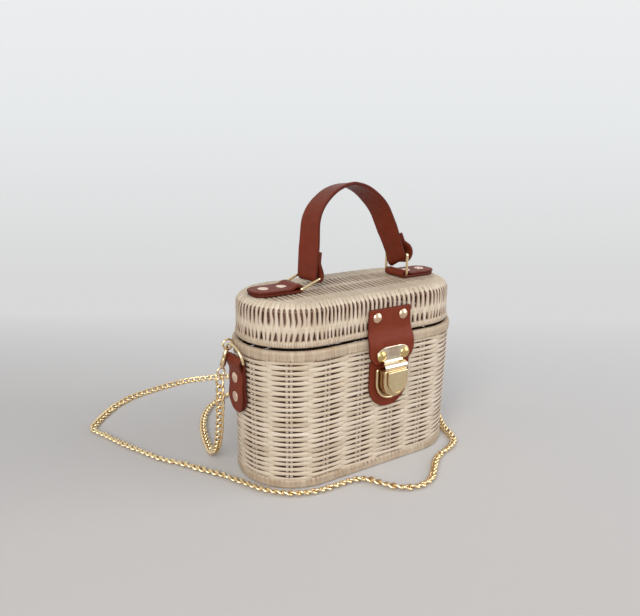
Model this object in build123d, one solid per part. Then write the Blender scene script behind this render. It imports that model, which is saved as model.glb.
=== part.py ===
"""Oval woven box bag: basket, hinged lid, press lock, loop handle and a chain strap on two hooks.

Millimetres. X runs along the oval, the front faces -Y, Z is up.
The origin is the middle of the foot, on the surface that the bag stands on.
"""
import os
from math import cos, degrees, pi, radians, sin, sqrt, tan

from build123d import *

# Basket
straight_half = 52.0
foot_radius = 45.5
rim_radius = 47.8
basket_height = 112.0
wall = 3.6
ridge_depth = 0.9
weave_rows = 24
rim_height = 12.0
rim_thick = 4.8
rim_proud = 0.4
rim_round = 1.4
foot_height = 8.0
base_lift = 1.5
base_thick = 3.2
base_ridge = 0.7
base_ridges = 44
stake_pairs = 16
stake_diameter = 2.2
stake_spread = 3.4
stake_phase_share = -0.035
slits_per_stake = 7
slit_length = 22.0
slit_height = 1.5

# Lid
lid_gap = 1.8
lid_radius = 45.2
lid_wall = 3.4
lid_rim_height = 8.0
lid_rim_thick = 4.5
lid_rim_proud = 0.5
lid_side_height = 17.0
lid_shoulder = 8.2
lid_shoulder_facets = 5
lid_ridge = 0.8
lid_uprights = 120
lid_top_ridges = 48
lid_slit_width = 1.3
lid_slit_height = 8.0
lid_slit_every = 4
lid_top_slit_length = 10.0
lid_top_slit_rows = 3
lid_top_slit_every = 3
hoop_diameter = 4.0
rib_diameter = 3.2
rib_offset = 14.0

# Hinge rings at the back
hinge_ring_radius = 8.0
hinge_wire = 1.8
hinge_spread = 30.0
hinge_behind = 0.8
hinge_play = 0.5

# Leather and rivets
leather = 2.0
rivet_head_radius = 4.2
rivet_head_height = 2.3
rivet_shank_radius = 1.2
rivet_cap_radius = 3.0
rivet_cap_height = 0.7

# Clasp flap and hasp on the lid
clasp_x = 8.0
flap_top_width = 42.0
flap_low_width = 46.0
flap_end_width = 28.0
flap_rise = 22.0
flap_drop = 22.0
flap_stand = 1.7
flap_corner = 3.0
flap_rivet_spread = 12.8
flap_rivet_drop = 7.0
hasp_width = 33.0
hasp_height = 14.0
hasp_thick = 1.2
hasp_rivet_spread = 11.5
hasp_rivet_rise = 7.0
lip_width = 30.0
lip_height = 4.5
lip_depth = 6.6
tongue_width = 10.0
tongue_thick = 1.4
tongue_drop = 4.2

# Press lock on the basket
lock_width = 30.0
lock_height = 26.0
lock_flange = 1.3
lock_depth = 7.4
lock_rim = 1.2
lock_front_width = 22.0
lock_skin = 1.5
lock_slot_reach = 2.6
backing_width = 40.0
backing_height = 40.5
backing_rise = 7.0
backing_thick = 1.7
prong_radius = 1.0
prong_spread = 11.0
prong_drop = 12.0
back_plate = 1.0
back_plate_height = 16.0
thumb_width = 19.0
thumb_height = 18.0
thumb_thick = 2.4
thumb_travel = 3.0
stem_width = 6.0
stem_height = 5.0
catch_width = 10.0
catch_height = 9.5
catch_thick = 2.4
spring_radius = 1.5
spring_wire = 0.5
spring_turns = 5

# Handle
handle_width = 24.0
strap_thick = 2.6
ring_wire = 2.2
ring_reach = 18.0
ring_corner = 1.6
ring_play = 0.6
pivot_half = 52.5
tab_length = 37.0
tab_end_round = 6.0
tab_rivet_near = 10.0
tab_rivet_far = 26.0
left_ring_lean = 22.0
right_ring_lean = 90.0
loop_play = 1.0
loop_length = 20.0
leg_rise = 39.0
left_bend = 30.0
left_turn = 70.0
right_bend = 40.0
right_turn = 82.0

# Side tabs and D rings
side_tab_width = 23.0
side_tab_length = 42.0
side_bar_drop = 13.0
side_wire = 2.2
side_ring_height = 12.5
side_corner = 1.6
side_lean = 12.0
side_rivet_near = 14.0
side_rivet_far = 29.5

# Hooks at the ends of the chain
hook_radius = 3.0
hook_wire = 1.8
hook_y = 8.0
hook_lean = 17.0
hook_gap_low = -120.0
hook_gap_high = 140.0
gate_thick = 1.5
gate_knob = 0.8
gate_lap = 10.0
neck_radius = 1.2
neck_length = 7.5
barrel_radius = 2.0
barrel_length = 6.5
post_radius = 0.9
post_length = 4.0
post_fit = 0.05
eye_radius = 2.9
eye_wire = 1.6

# Chain: diameter and the points of its route, from the left hook to the right one
chain_diameter = 5.0
chain_route = [
    (-112.8, 8.0, 84.6), (-112.4, 8.8, 71.0), (-111.7, 11.2, 57.0), (-111.0, 14.8, 43.0),
    (-110.2, 19.2, 29.5), (-109.0, 26.0, 17.0), (-107.5, 36.0, 7.0), (-105.8, 48.0, 2.5),
    (-102.0, 65.0, 2.5), (-96.5, 84.0, 2.5), (-89.0, 103.0, 2.5), (-79.0, 121.0, 2.5),
    (-65.0, 137.5, 2.5), (-47.0, 149.0, 2.5), (-28.0, 157.5, 2.5), (-12.0, 166.0, 2.5),
    (-3.0, 178.0, 2.5), (-6.0, 192.0, 2.5), (-20.0, 201.0, 2.5), (-40.0, 207.0, 2.5),
    (-62.0, 211.0, 2.5), (-85.0, 208.5, 2.5), (-106.0, 204.0, 2.5), (-126.0, 198.5, 2.5),
    (-146.0, 186.0, 2.5), (-162.0, 169.0, 2.5), (-173.0, 155.0, 2.5), (-179.5, 145.5, 2.5),
    (-178.5, 137.5, 2.5), (-173.0, 126.0, 2.5), (-168.0, 109.0, 2.5), (-161.0, 91.0, 2.5),
    (-153.0, 73.0, 2.5), (-146.0, 56.0, 2.5), (-135.0, 42.0, 2.5), (-126.0, 26.0, 2.5),
    (-116.0, 10.0, 2.5), (-106.5, -9.0, 2.5), (-98.5, -28.0, 2.5), (-86.0, -44.5, 2.5),
    (-68.0, -54.0, 2.5), (-48.0, -56.0, 2.5), (-31.0, -55.5, 2.5), (-20.5, -60.0, 2.5),
    (-15.5, -70.0, 2.5), (-9.0, -82.0, 2.5), (2.0, -90.5, 2.5), (15.5, -91.5, 2.5),
    (28.0, -85.0, 2.5), (39.0, -74.5, 2.5), (50.5, -65.0, 2.5), (62.5, -60.5, 2.5),
    (75.0, -57.0, 2.5), (86.5, -50.0, 2.5), (91.5, -38.5, 2.5), (96.0, -26.0, 2.5),
    (103.0, -14.5, 2.5), (108.6, -3.5, 5.0), (111.6, 3.0, 14.5), (112.6, 6.2, 27.5),
    (113.0, 7.2, 42.0), (113.3, 8.2, 57.0), (113.2, 8.5, 71.0), (112.8, 8.0, 84.6),
]
chain_drop = 14.4
bend_share = 0.45

# Fits
touch = 0.1
clear = 0.3
overrun = 5.0

# Worked-out levels and places
lid_bottom = basket_height + lid_gap
lid_side_top = lid_bottom + lid_rim_height + lid_side_height
lid_top = lid_side_top + lid_shoulder
hinge_y = rim_radius + hinge_behind
hinge_z = basket_height + lid_gap / 2
wall_bottom = foot_height
wall_top = basket_height - rim_height
side_bar_height = basket_height - side_bar_drop
tab_seat = lid_top + touch
pivot_z = tab_seat + leather + touch + ring_wire / 2
flap_top = lid_bottom + flap_rise
flap_bottom = lid_bottom - flap_drop
lock_top = flap_bottom + hasp_thick / 2 - lip_height - clear


def basket_radius(height):
    """Outer radius of the oval's ends at a height: the basket widens towards its rim."""
    return foot_radius + (rim_radius - foot_radius) * height / basket_height


# Radius-height plane at the right end of the straight sides: local x is the radius, local y is Z
section_plane = Plane(origin=(straight_half, 0, 0), x_dir=(0, -1, 0), z_dir=(-1, 0, 0))


def round_the_oval(section):
    """Carry a radius-height section round the oval: two straight sides and two half-turn ends."""
    face = section_plane * section
    front = extrude(face, amount=2 * straight_half)
    end = revolve(face, axis=Axis((straight_half, 0, 0), (0, 0, 1)), revolution_arc=180)
    back = mirror(front, about=Plane.XZ)
    return front + [end, back, mirror(end, about=Plane.YZ)]


def oval_place(share, radius, height):
    """A share of the way round from the front's middle; local X runs along, local -Y points out."""
    end_run = pi * radius
    around = 4 * straight_half + 2 * end_run
    run = (share % 1) * around
    if run < straight_half:
        spot, turn = (run, -radius), 0
    elif run < straight_half + end_run:
        turn = (run - straight_half) / radius
        spot = (straight_half + radius * sin(turn), -radius * cos(turn))
    elif run < 3 * straight_half + end_run:
        spot, turn = (2 * straight_half + end_run - run, radius), pi
    elif run < 3 * straight_half + 2 * end_run:
        turn = pi + (run - 3 * straight_half - end_run) / radius
        spot = (-straight_half + radius * sin(turn), -radius * cos(turn))
    else:
        spot, turn = (run - around, -radius), 0
    return Location((*spot, height), (0, 0, degrees(turn)))


def oval(radius, bottom, height):
    """A plain oval plate."""
    plan = Pos(0, 0, bottom) * SlotCenterToCenter(2 * straight_half, 2 * radius)
    return extrude(plan, amount=height)


def ridged_plate(radius, bottom, thick, ridge, count):
    """An oval mat of rods that run from front to back, as ridges on both faces."""
    reach = straight_half + radius
    step = 2 * reach / count
    top = [(-reach + step * i / 2, bottom + thick - ridge * (i % 2)) for i in range(2 * count + 1)]
    low = [(x, bottom + bottom + thick - z) for x, z in reversed(top)]
    mat = make_face(Polyline(*[(x, radius + overrun, z) for x, z in top + low], close=True))
    mat = extrude(mat, amount=2 * (radius + overrun), dir=(0, -1, 0))
    return mat & oval(radius, bottom - overrun, thick + 2 * overrun)


def bar_along_y(radius, length):
    """A round bar along Y, centred on the origin."""
    return Rot(90, 0, 0) * Cylinder(radius, length)


def dome(radius, height):
    """A low round cap that stands on its flat side."""
    ball = (radius**2 + height**2) / (2 * height)
    base = Cylinder(radius, height, align=(Align.CENTER, Align.CENTER, Align.MIN))
    return base & Pos(0, 0, height - ball) * Sphere(ball)


def rivet(grip):
    """A domed rivet: head above the seat, shank through the grip and a set cap below it."""
    low = (Align.CENTER, Align.CENTER, Align.MAX)
    shank = Cylinder(rivet_shank_radius, grip, align=low)
    cap = Pos(0, 0, -grip) * Cylinder(rivet_cap_radius, rivet_cap_height, align=low)
    return dome(rivet_head_radius, rivet_head_height) + shank + cap


def rivet_hole(grip):
    """The hole that a rivet's shank needs, past both ends of its grip."""
    return Cylinder(rivet_shank_radius + touch, 2 * (grip + overrun))


def facing_front(x, y, z):
    """Local +Z turned to face the front."""
    return Pos(x, y, z) * Rot(90, 0, 0)


def facing_left(x, y, z):
    """Local +Z turned to face the left end."""
    return Pos(x, y, z) * Rot(0, -90, 0)


def both_sides(shape):
    """The shape and its mirror image at the other end of the bag."""
    return shape + mirror(shape, about=Plane.YZ)


def group(solids):
    """Separate solids kept together as one piece of the list."""
    return Compound(children=list(solids))


# Places of the rivets and of the lock, used by every piece that they go through
lid_face = lid_radius + lid_rim_proud
lid_flat = lid_radius - lid_shoulder
hoop_nest = (lid_shoulder - lid_wall - hoop_diameter / 2 - touch) / sqrt(2)
flap_rivet_z = flap_top - flap_rivet_drop
flap_seat = lid_face + touch
flap_low_seat = rim_radius + rim_proud + flap_stand
hasp_seat = flap_low_seat + leather
hasp_rivet_z = flap_bottom + hasp_rivet_rise
flap_grip = leather + touch + lid_rim_proud + lid_wall + touch
hasp_grip = leather + hasp_thick
backing_top = lock_top + backing_rise
backing_bottom = backing_top - backing_height
backing_face = basket_radius(backing_top) + touch + backing_thick
lock_bottom = lock_top - lock_height
lock_front = backing_face + lock_flange + lock_depth
case_height = lock_height - lock_rim
case_width = lock_width - 2 * lock_rim
front_height = case_height - (case_width - lock_front_width) / 2
lock_floor = lock_top - front_height + lock_skin
tongue_y = hasp_seat + touch + tongue_thick
stem_top = lock_top - thumb_height / 2
catch_top = lock_top - tongue_drop - 2 * clear
catch_face = lock_front - lock_skin - clear
stake_reach = wall + touch + stake_diameter + touch
prong_z = lock_top - prong_drop
back_plate_face = basket_radius(prong_z - back_plate_height / 2) - stake_reach
side_seat = straight_half + basket_radius(side_bar_height) + touch
side_bar_x = side_seat + leather + touch + side_wire / 2
side_face = side_seat + 2 * leather + touch
side_rivet_z = [side_bar_height - spot for spot in (side_rivet_near, side_rivet_far)]
side_grip = side_face - straight_half - basket_radius(min(side_rivet_z)) + wall + touch
tab_end = pivot_half + tab_length
tab_rivet_x = [pivot_half + spot for spot in (tab_rivet_near, tab_rivet_far)]
tab_grip = 2 * leather + 2 * touch + base_thick + touch
tab_face = tab_seat + 2 * leather + touch

flap_rivet_places = [
    facing_front(clasp_x + side * flap_rivet_spread, -flap_seat - leather, flap_rivet_z)
    for side in (-1, 1)
]
hasp_rivet_places = [
    facing_front(clasp_x + side * hasp_rivet_spread, -hasp_seat - hasp_thick, hasp_rivet_z)
    for side in (-1, 1)
]
left_tab_rivet_places = [Pos(-x, 0, tab_face) for x in tab_rivet_x]
left_side_rivet_places = [facing_left(-side_face, 0, z) for z in side_rivet_z]


def side_rivet_ways():
    """The ways of the side tabs' rivets through the wall, and through the rim where they are high."""
    return [both_sides(place * rivet_hole(side_grip)) for place in left_side_rivet_places]


def woven_wall():
    """The basket's side: rows of weavers as ridges, with slits beside the stakes."""
    rise = wall_top - wall_bottom
    outline = []
    for i in range(2 * weave_rows + 1):
        height = wall_bottom + rise * i / (2 * weave_rows)
        outline.append((basket_radius(height) - ridge_depth * ((i + 1) % 2), height))
    outline.append((basket_radius(wall_top) - wall, wall_top))
    outline.append((basket_radius(wall_bottom) - wall, wall_bottom))
    body = round_the_oval(make_face(Polyline(*outline, close=True)))
    slits = []
    row = rise / weave_rows
    skip = weave_rows / slits_per_stake
    for pair in range(stake_pairs):
        share = stake_phase_share + pair / stake_pairs
        for i in range(slits_per_stake):
            step = round((i + (1 + pair % 2) / 3) * skip)
            place = oval_place(share, foot_radius, wall_bottom + row * step)
            slits.append(place * Box(slit_length, 2 * wall + overrun, slit_height))
    return body - slits - prong_holes() - side_rivet_ways()


def stakes():
    """Pairs of upright rods inside the wall, leaning with it from the foot to the rim."""
    low, high = wall_bottom + touch, wall_top - touch
    lean = degrees((rim_radius - foot_radius) / basket_height)
    middle = (low + high) / 2
    inset = wall + touch + stake_diameter / 2
    rods = []
    for pair in range(stake_pairs):
        place = oval_place(stake_phase_share + pair / stake_pairs, foot_radius, middle)
        reach = basket_radius(middle) - foot_radius - inset
        for side in (-1, 1):
            spot = Pos(side * stake_spread / 2, -reach, 0) * Rot(lean, 0, 0)
            rods.append(place * spot * Cylinder(stake_diameter / 2, high - low))
    return group(rods)


def rim_section(outer, bottom, thick, height):
    """A wrapped rim's rounded section, with its outer face at the given radius."""
    return Pos(outer - thick / 2, bottom + height / 2) * RectangleRounded(thick, height, rim_round)


def hinge_path(play):
    """The two hinge rings, or with some play the way that they need through the rims."""
    wire = hinge_wire / 2 + play
    return [Pos(side * hinge_spread, hinge_y, hinge_z) * Rot(0, 90, 0) * Torus(hinge_ring_radius, wire)
            for side in (-1, 1)]


def basket_rim():
    section = rim_section(rim_radius + rim_proud, wall_top, rim_thick, rim_height)
    return round_the_oval(section) - hinge_path(hinge_play) - side_rivet_ways()


def foot_inner():
    return basket_radius(foot_height) + rim_proud - rim_thick


def foot_rim():
    return round_the_oval(rim_section(foot_inner() + rim_thick, 0, rim_thick, foot_height))


def basket_base():
    return ridged_plate(foot_inner() - touch, base_lift, base_thick, base_ridge, base_ridges)


def lid_side():
    """Upright rods of the lid's side, as ridges in plan."""
    bottom = lid_bottom + lid_rim_height
    plan = []
    for i in range(2 * lid_uprights):
        place = oval_place(i / (2 * lid_uprights), lid_radius, bottom)
        plan.append((place * Pos(0, lid_ridge * (i % 2), 0)).position)
    side = extrude(make_face(Polyline(*plan, close=True)), amount=lid_side_height)
    return side - oval(lid_radius - lid_wall, bottom - overrun, lid_side_height + 2 * overrun)


def lid_edge():
    """The rounded edge where the rods turn from the top down to the side."""
    turns = [radians(90 * i / lid_shoulder_facets) for i in range(lid_shoulder_facets + 1)]
    rounds = [[(radius * cos(turn), radius * sin(turn)) for turn in turns]
              for radius in (lid_shoulder, lid_shoulder - lid_wall)]
    section = make_face(Polyline(*rounds[0], *reversed(rounds[1]), close=True))
    return round_the_oval(Pos(lid_flat, lid_side_top) * section)


def lid_slits():
    """Slits between the lid's rods: two rows round the side and short rows across the top."""
    cuts = []
    low = lid_bottom + lid_rim_height + lid_slit_height / 2
    high = lid_side_top - lid_slit_height / 2
    for i in range(0, lid_uprights, lid_slit_every):
        for shift, height in ((0, high), (lid_slit_every // 2, low)):
            share = (i + shift + 1 / 2) / lid_uprights
            place = oval_place(share, lid_radius, height)
            cuts.append(place * Box(lid_slit_width, 2 * lid_wall + overrun, lid_slit_height))
    reach = straight_half + lid_flat
    step = 2 * reach / lid_top_ridges
    for row in range(lid_top_slit_rows):
        y = (row - (lid_top_slit_rows - 1) / 2) * 2 * rib_offset
        for i in range(row, lid_top_ridges, lid_top_slit_every):
            x = -reach + step * (i + 1 / 2)
            if abs(x) < straight_half:
                slit = Box(lid_slit_width, lid_top_slit_length, 2 * base_thick)
                cuts.append(Pos(x, y, lid_top) * slit)
    return cuts


def lid_weave():
    """Side, rounded edge and top of the lid, woven as one piece."""
    top = ridged_plate(lid_flat + touch, lid_top - base_thick, base_thick, base_ridge, lid_top_ridges)
    shell = lid_side() + [lid_edge(), top]
    holes = [place * rivet_hole(flap_grip) for place in flap_rivet_places]
    holes += [both_sides(place * rivet_hole(tab_grip)) for place in left_tab_rivet_places]
    return shell - lid_slits() - holes


def lid_rim():
    section = rim_section(lid_face, lid_bottom, lid_rim_thick, lid_rim_height)
    return round_the_oval(section) - hinge_path(hinge_play)


def lid_hoop():
    """A bent rod in the corner under the lid's rounded edge."""
    centre = (lid_flat + hoop_nest, lid_side_top + hoop_nest)
    return round_the_oval(Pos(*centre) * Circle(hoop_diameter / 2))


def lid_ribs():
    """Two lengthwise rods under the top, between the hoop's ends."""
    z = lid_top - base_thick - touch - rib_diameter / 2
    inner = lid_flat + hoop_nest - hoop_diameter / 2 - clear
    half = straight_half + sqrt(inner**2 - (rib_offset + rib_diameter / 2) ** 2)
    rod = Rot(0, 90, 0) * Cylinder(rib_diameter / 2, 2 * half)
    return group([Pos(0, side * rib_offset, z) * rod for side in (-1, 1)])


def clasp_flap():
    """The leather flap: riveted to the lid, stepping out over the basket's rim."""
    step_top, step_low = lid_bottom + lid_rim_height / 2, basket_height - leather
    inner = [(flap_seat, flap_top), (flap_seat, step_top), (flap_low_seat, step_low),
             (flap_low_seat, flap_bottom)]
    outer = [(y + leather, z) for y, z in reversed(inner)]
    side = make_face(Polyline(*[(clasp_x, -y, z) for y, z in inner + outer], close=True))
    strip = extrude(side, amount=flap_low_width, dir=(1, 0, 0), both=True)
    top, low, end = flap_top_width / 2, flap_low_width / 2, flap_end_width / 2
    waist = flap_bottom + (low - end)
    outline = [(-top, flap_top), (-low, waist), (-end, flap_bottom), (end, flap_bottom), (low, waist),
               (top, flap_top)]
    face = make_face(Polyline(*outline, close=True))
    face = fillet(face.vertices(), flap_corner)
    front = facing_front(clasp_x, 0, 0) * face
    holes = [place * rivet_hole(flap_grip) for place in flap_rivet_places + hasp_rivet_places]
    return (strip & extrude(front, amount=2 * hasp_seat)) - holes


def hasp_plate():
    """The metal plate on the flap: an arched plate, a lip over the lock and a tongue into it."""
    spring = flap_bottom + lip_height
    foot = Polyline((-hasp_width / 2, spring), (-lip_width / 2, flap_bottom), (lip_width / 2, flap_bottom),
                    (hasp_width / 2, spring))
    arch = ThreePointArc((hasp_width / 2, spring), (0, flap_bottom + hasp_height), (-hasp_width / 2, spring))
    face = make_face([foot, arch])
    plate = extrude(facing_front(clasp_x, -hasp_seat - touch, 0) * face, amount=hasp_thick - touch)
    low = (Align.CENTER, Align.MAX, Align.MIN)
    lip = Box(lip_width, lip_depth, lip_height, align=low)
    lip = Pos(clasp_x, -hasp_seat - touch, lock_top + clear) * lip
    lip = fillet(lip.edges().filter_by(Axis.X).group_by(Axis.Y)[0], lip_height / 3)
    tongue = Box(tongue_width, tongue_thick, tongue_drop + lip_height / 2, align=low)
    tongue = Pos(clasp_x, -tongue_y + tongue_thick / 2, lock_top - tongue_drop) * tongue
    return plate + [lip, tongue] - [place * rivet_hole(hasp_grip) for place in hasp_rivet_places]


def u_face(width, height):
    """A plate outline with a flat top at local y 0 and a round bottom."""
    half = width / 2
    turn = half - height
    sides = Polyline((-half, turn), (-half, 0), (half, 0), (half, turn))
    return make_face([sides, ThreePointArc((half, turn), (0, -height), (-half, turn))])


def lock_backing():
    """The leather patch under the lock: its back follows the leaning wall."""
    half = backing_width / 2
    back = [(basket_radius(z) + touch, z) for z in (backing_top, backing_bottom)]
    front = [(backing_face, backing_bottom), (backing_face, backing_top)]
    side = make_face(Polyline(*[(clasp_x, -y, z) for y, z in back + front], close=True))
    slab = extrude(side, amount=half, dir=(1, 0, 0), both=True)
    patch = extrude(facing_front(clasp_x, 0, backing_top) * u_face(backing_width, backing_height),
                    amount=backing_face + overrun)
    return (slab & patch) - prong_holes()


def prong_holes():
    """Holes for the lock's prongs, through everything behind the lock."""
    hole = bar_along_y(prong_radius + touch, 2 * (backing_face - back_plate_face + overrun))
    return [Pos(clasp_x + side * prong_spread, -backing_face, prong_z) * hole for side in (-1, 1)]


def lock_case():
    """The lock's body: flange, flared hollow case, slots for tongue and stem, and two prongs."""
    flange = extrude(facing_front(clasp_x, -backing_face, lock_top) * u_face(lock_width, lock_height),
                     amount=lock_flange)
    foot = facing_front(clasp_x, -backing_face - lock_flange, lock_top) * u_face(case_width, case_height)
    front = facing_front(clasp_x, -lock_front, lock_top) * u_face(lock_front_width, front_height)
    case = loft([foot.face(), front.face()])
    room = u_face(lock_front_width - 2 * lock_skin, front_height - 2 * lock_skin)
    hollow = extrude(facing_front(clasp_x, -backing_face + touch, lock_top - lock_skin) * room,
                     amount=lock_flange + lock_depth - lock_skin + touch)
    slot = Box(tongue_width + 4 * clear, lock_slot_reach + tongue_thick, 3 * lock_skin,
               align=(Align.CENTER, Align.MAX, Align.CENTER))
    slot = Pos(clasp_x, -tongue_y + tongue_thick, lock_top) * slot
    stem_way = Box(stem_width + 2 * clear, 3 * lock_skin, stem_height + thumb_travel + 2 * clear,
                   align=(Align.CENTER, Align.CENTER, Align.MAX))
    stem_way = Pos(clasp_x, -lock_front, stem_top + clear) * stem_way
    length = backing_face - back_plate_face + back_plate + lock_flange
    prong = bar_along_y(prong_radius, length)
    middle = -backing_face - lock_flange / 2 + length / 2
    prongs = [Pos(clasp_x + side * prong_spread, middle, prong_z) * prong for side in (-1, 1)]
    return flange + case - [hollow, slot, stem_way] + prongs


def thumb_catch():
    """The thumb piece on the lock's front, its stem and the catch plate inside."""
    pad = u_face(thumb_width, thumb_height)
    pad = extrude(facing_front(clasp_x, -lock_front - clear, lock_top - clear) * pad, amount=thumb_thick)
    pad = chamfer(pad.faces().sort_by(Axis.Y)[0].edges(), thumb_thick / 3)
    low = (Align.CENTER, Align.MIN, Align.MAX)
    stem = Box(stem_width, lock_skin + catch_thick + 2 * clear, stem_height, align=low)
    plate = Box(catch_width, catch_thick, catch_height, align=low)
    return pad + [Pos(clasp_x, -lock_front - 2 * clear, stem_top) * stem,
                  Pos(clasp_x, -catch_face, catch_top) * plate]


def lock_spring():
    """The coil spring that lifts the catch, standing on the case's floor."""
    low = lock_floor + clear + spring_wire / 2
    rise = catch_top - catch_height - touch - spring_wire / 2 - low
    helix = Helix(rise / spring_turns, rise, spring_radius)
    wire = Plane(origin=helix @ 0, z_dir=helix % 0) * Circle(spring_wire / 2)
    coil = sweep(wire, path=helix, is_frenet=True)
    return Pos(clasp_x, -catch_face + spring_radius + spring_wire / 2, low) * coil


def lock_back_plate():
    """The plate inside the basket that the lock's prongs are clenched on."""
    plate = Box(2 * prong_spread + back_plate_height / 2, back_plate, back_plate_height,
                align=(Align.CENTER, Align.MIN, Align.CENTER))
    return Pos(clasp_x, -back_plate_face, prong_z) * plate - prong_holes()


def wire_along(path, diameter):
    """Round wire along a path."""
    return sweep(Plane(origin=path @ 0, z_dir=path % 0) * Circle(diameter / 2), path=path)


def band(points_line, width):
    """A leather band: its line in the XZ plane, given its thickness and its width along Y."""
    outline = trace(points_line, line_width=strap_thick)
    return extrude(Plane.XZ * outline, amount=width / 2, both=True)


def ring_end(pivot_x, lean):
    """Place of a handle ring's upper bar for the ring's lean above level."""
    return pivot_x + ring_reach * cos(radians(lean)), pivot_z + ring_reach * sin(radians(lean))


left_bar = ring_end(-pivot_half, left_ring_lean)
right_bar = ring_end(pivot_half, right_ring_lean)


def loop_line(bar, heading, side):
    """A loop round a ring's bar: down the leg, half round the bar and back up beside the leg."""
    along = Vector(cos(radians(heading)), sin(radians(heading)))
    across = Vector(-along.Y, along.X) * side
    reach = strap_thick / 2 + loop_play + ring_wire / 2
    centre = Vector(*bar)
    leg_foot = centre + across * reach
    leg_head = leg_foot + along * loop_length
    turn_point = centre - along * reach
    free_foot = centre - across * reach
    free_head = leg_head - across * strap_thick
    arc = ThreePointArc(leg_foot, turn_point, free_foot)
    return leg_head, [Line(leg_head, leg_foot), arc, Line(free_foot, free_head)]


def handle_strap():
    """The leather handle: an uneven arch with a loop round each ring."""
    left_head, left_loop = loop_line(left_bar, 90, 1)
    leg = Line(left_head, left_head + Vector(0, leg_rise - loop_length))
    shoulder = JernArc(leg @ 1, leg % 1, left_bend, -left_turn)
    crown = JernArc(shoulder @ 1, shoulder % 1, right_bend, -right_turn)
    heading = 90 + 180 - left_turn - right_turn
    right_head, right_loop = loop_line(right_bar, heading, 1)
    fall = Line(crown @ 1, right_head)
    return band(left_loop + [leg, shoulder, crown, fall] + right_loop, handle_width)


def handle_ring(pivot_x, lean):
    """A rectangular wire ring: one bar in the tab's fold, the other in the strap's loop."""
    half = handle_width / 2 + ring_play + ring_wire / 2
    path = FilletPolyline((0, -half), (ring_reach, -half), (ring_reach, half), (0, half),
                          radius=ring_corner, close=True)
    return Pos(pivot_x, 0, pivot_z) * Rot(0, -lean, 0) * wire_along(path, ring_wire)


def folded_strip(line, width):
    """A leather strip: its line in the XZ plane, given its thickness and its width along Y."""
    return extrude(Plane.XZ * trace(line, line_width=leather), amount=width / 2, both=True)


def handle_tab():
    """The left leather tab: folded round the ring's bar and riveted flat on the lid."""
    mid = leather / 2
    reach = ring_wire / 2 + touch + mid
    low_z = tab_seat + mid
    high_z = low_z + leather + touch
    low_turn, high_turn = (-pivot_half, pivot_z - reach), (-pivot_half, pivot_z + reach)
    fold = ThreePointArc(low_turn, (-pivot_half + reach, pivot_z), high_turn)
    over = (-pivot_half - reach, pivot_z + reach)
    seat = (-pivot_half - tab_rivet_near + rivet_head_radius + mid, high_z)
    strip = folded_strip([Line((-tab_end, low_z), low_turn), fold,
                          Polyline(high_turn, over, seat, (-tab_end, high_z))], handle_width)
    plan = RectangleRounded(2 * tab_length, handle_width, tab_end_round, align=(Align.MIN, Align.CENTER))
    plan = extrude(Pos(-tab_end, 0, tab_seat - overrun) * plan, amount=2 * overrun + 4 * leather + ring_wire)
    return (strip & plan) - [place * rivet_hole(tab_grip) for place in left_tab_rivet_places]


def side_tab():
    """The left end's leather tab: folded over the D ring's bar and riveted through the wall."""
    mid = leather / 2
    reach = side_wire / 2 + touch + mid
    bottom = side_bar_height - side_tab_length
    back, front = side_seat + mid, side_seat + mid + leather + touch
    low_turn, high_turn = (-side_bar_x + reach, side_bar_height), (-side_bar_x - reach, side_bar_height)
    fold = ThreePointArc(low_turn, (-side_bar_x, side_bar_height + reach), high_turn)
    seat = (-front, side_bar_height - side_rivet_near + rivet_head_radius + mid)
    strip = folded_strip([Line((-back, bottom), low_turn), fold,
                          Polyline(high_turn, seat, (-front, bottom))], side_tab_width)
    plan = RectangleRounded(side_tab_width, 2 * side_tab_length, tab_end_round,
                            align=(Align.CENTER, Align.MIN))
    outline = Plane(origin=(-side_face - overrun, 0, bottom), x_dir=(0, 1, 0), z_dir=(1, 0, 0)) * plan
    plan = extrude(outline, amount=2 * overrun + 4 * leather)
    return (strip & plan) - [place * rivet_hole(side_grip) for place in left_side_rivet_places]


side_half = side_tab_width / 2 + ring_play + side_wire / 2
side_crown = side_ring_height - side_corner - touch


def side_ring():
    """The left D ring: a straight bar in the tab's fold and a round bow that stands above it."""
    path = FilletPolyline((0, -side_half, 0), (0, side_half, 0), (0, side_half, side_ring_height),
                          (0, -side_half, side_ring_height),
                          radius=[side_corner, side_corner, side_crown, side_crown], close=True)
    return Pos(-side_bar_x, 0, side_bar_height) * Rot(0, -side_lean, 0) * wire_along(path, side_wire)


def hook_place():
    """The middle of the left hook's eye, where the D ring's bow passes, leaning out with the hook."""
    sideways = hook_y - (side_half - side_crown)
    rise = side_ring_height - side_crown + sqrt(side_crown**2 - sideways**2)
    lean = radians(side_lean)
    spot = (-side_bar_x - rise * sin(lean), hook_y, side_bar_height + rise * cos(lean))
    return Pos(*spot) * Rot(0, hook_lean, 0)


hook_bend = hook_radius + hook_wire / 2
neck_top = -hook_bend
barrel_top = neck_top - neck_length
barrel_bottom = barrel_top - barrel_length
eye_z = barrel_bottom - clear - eye_wire / 2 - eye_radius


def on_bend(angle):
    """A point on the hook's middle line, in the hook's own XZ plane."""
    return hook_bend * cos(radians(angle)), 0, hook_bend * sin(radians(angle))


def bend_arc(first, last):
    """A stretch of the hook's round middle line."""
    return ThreePointArc(on_bend(first), on_bend((first + last) / 2), on_bend(last))


def about_gate_pivot(radius):
    """A round bar about the gate's pivot, which is at the lower end of the bend."""
    return Pos(*on_bend(hook_gap_low)) * bar_along_y(radius, 2 * hook_bend)


gate_reach = 2 * hook_bend * sin(radians(hook_gap_low + 360 - hook_gap_high) / 2)


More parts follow.
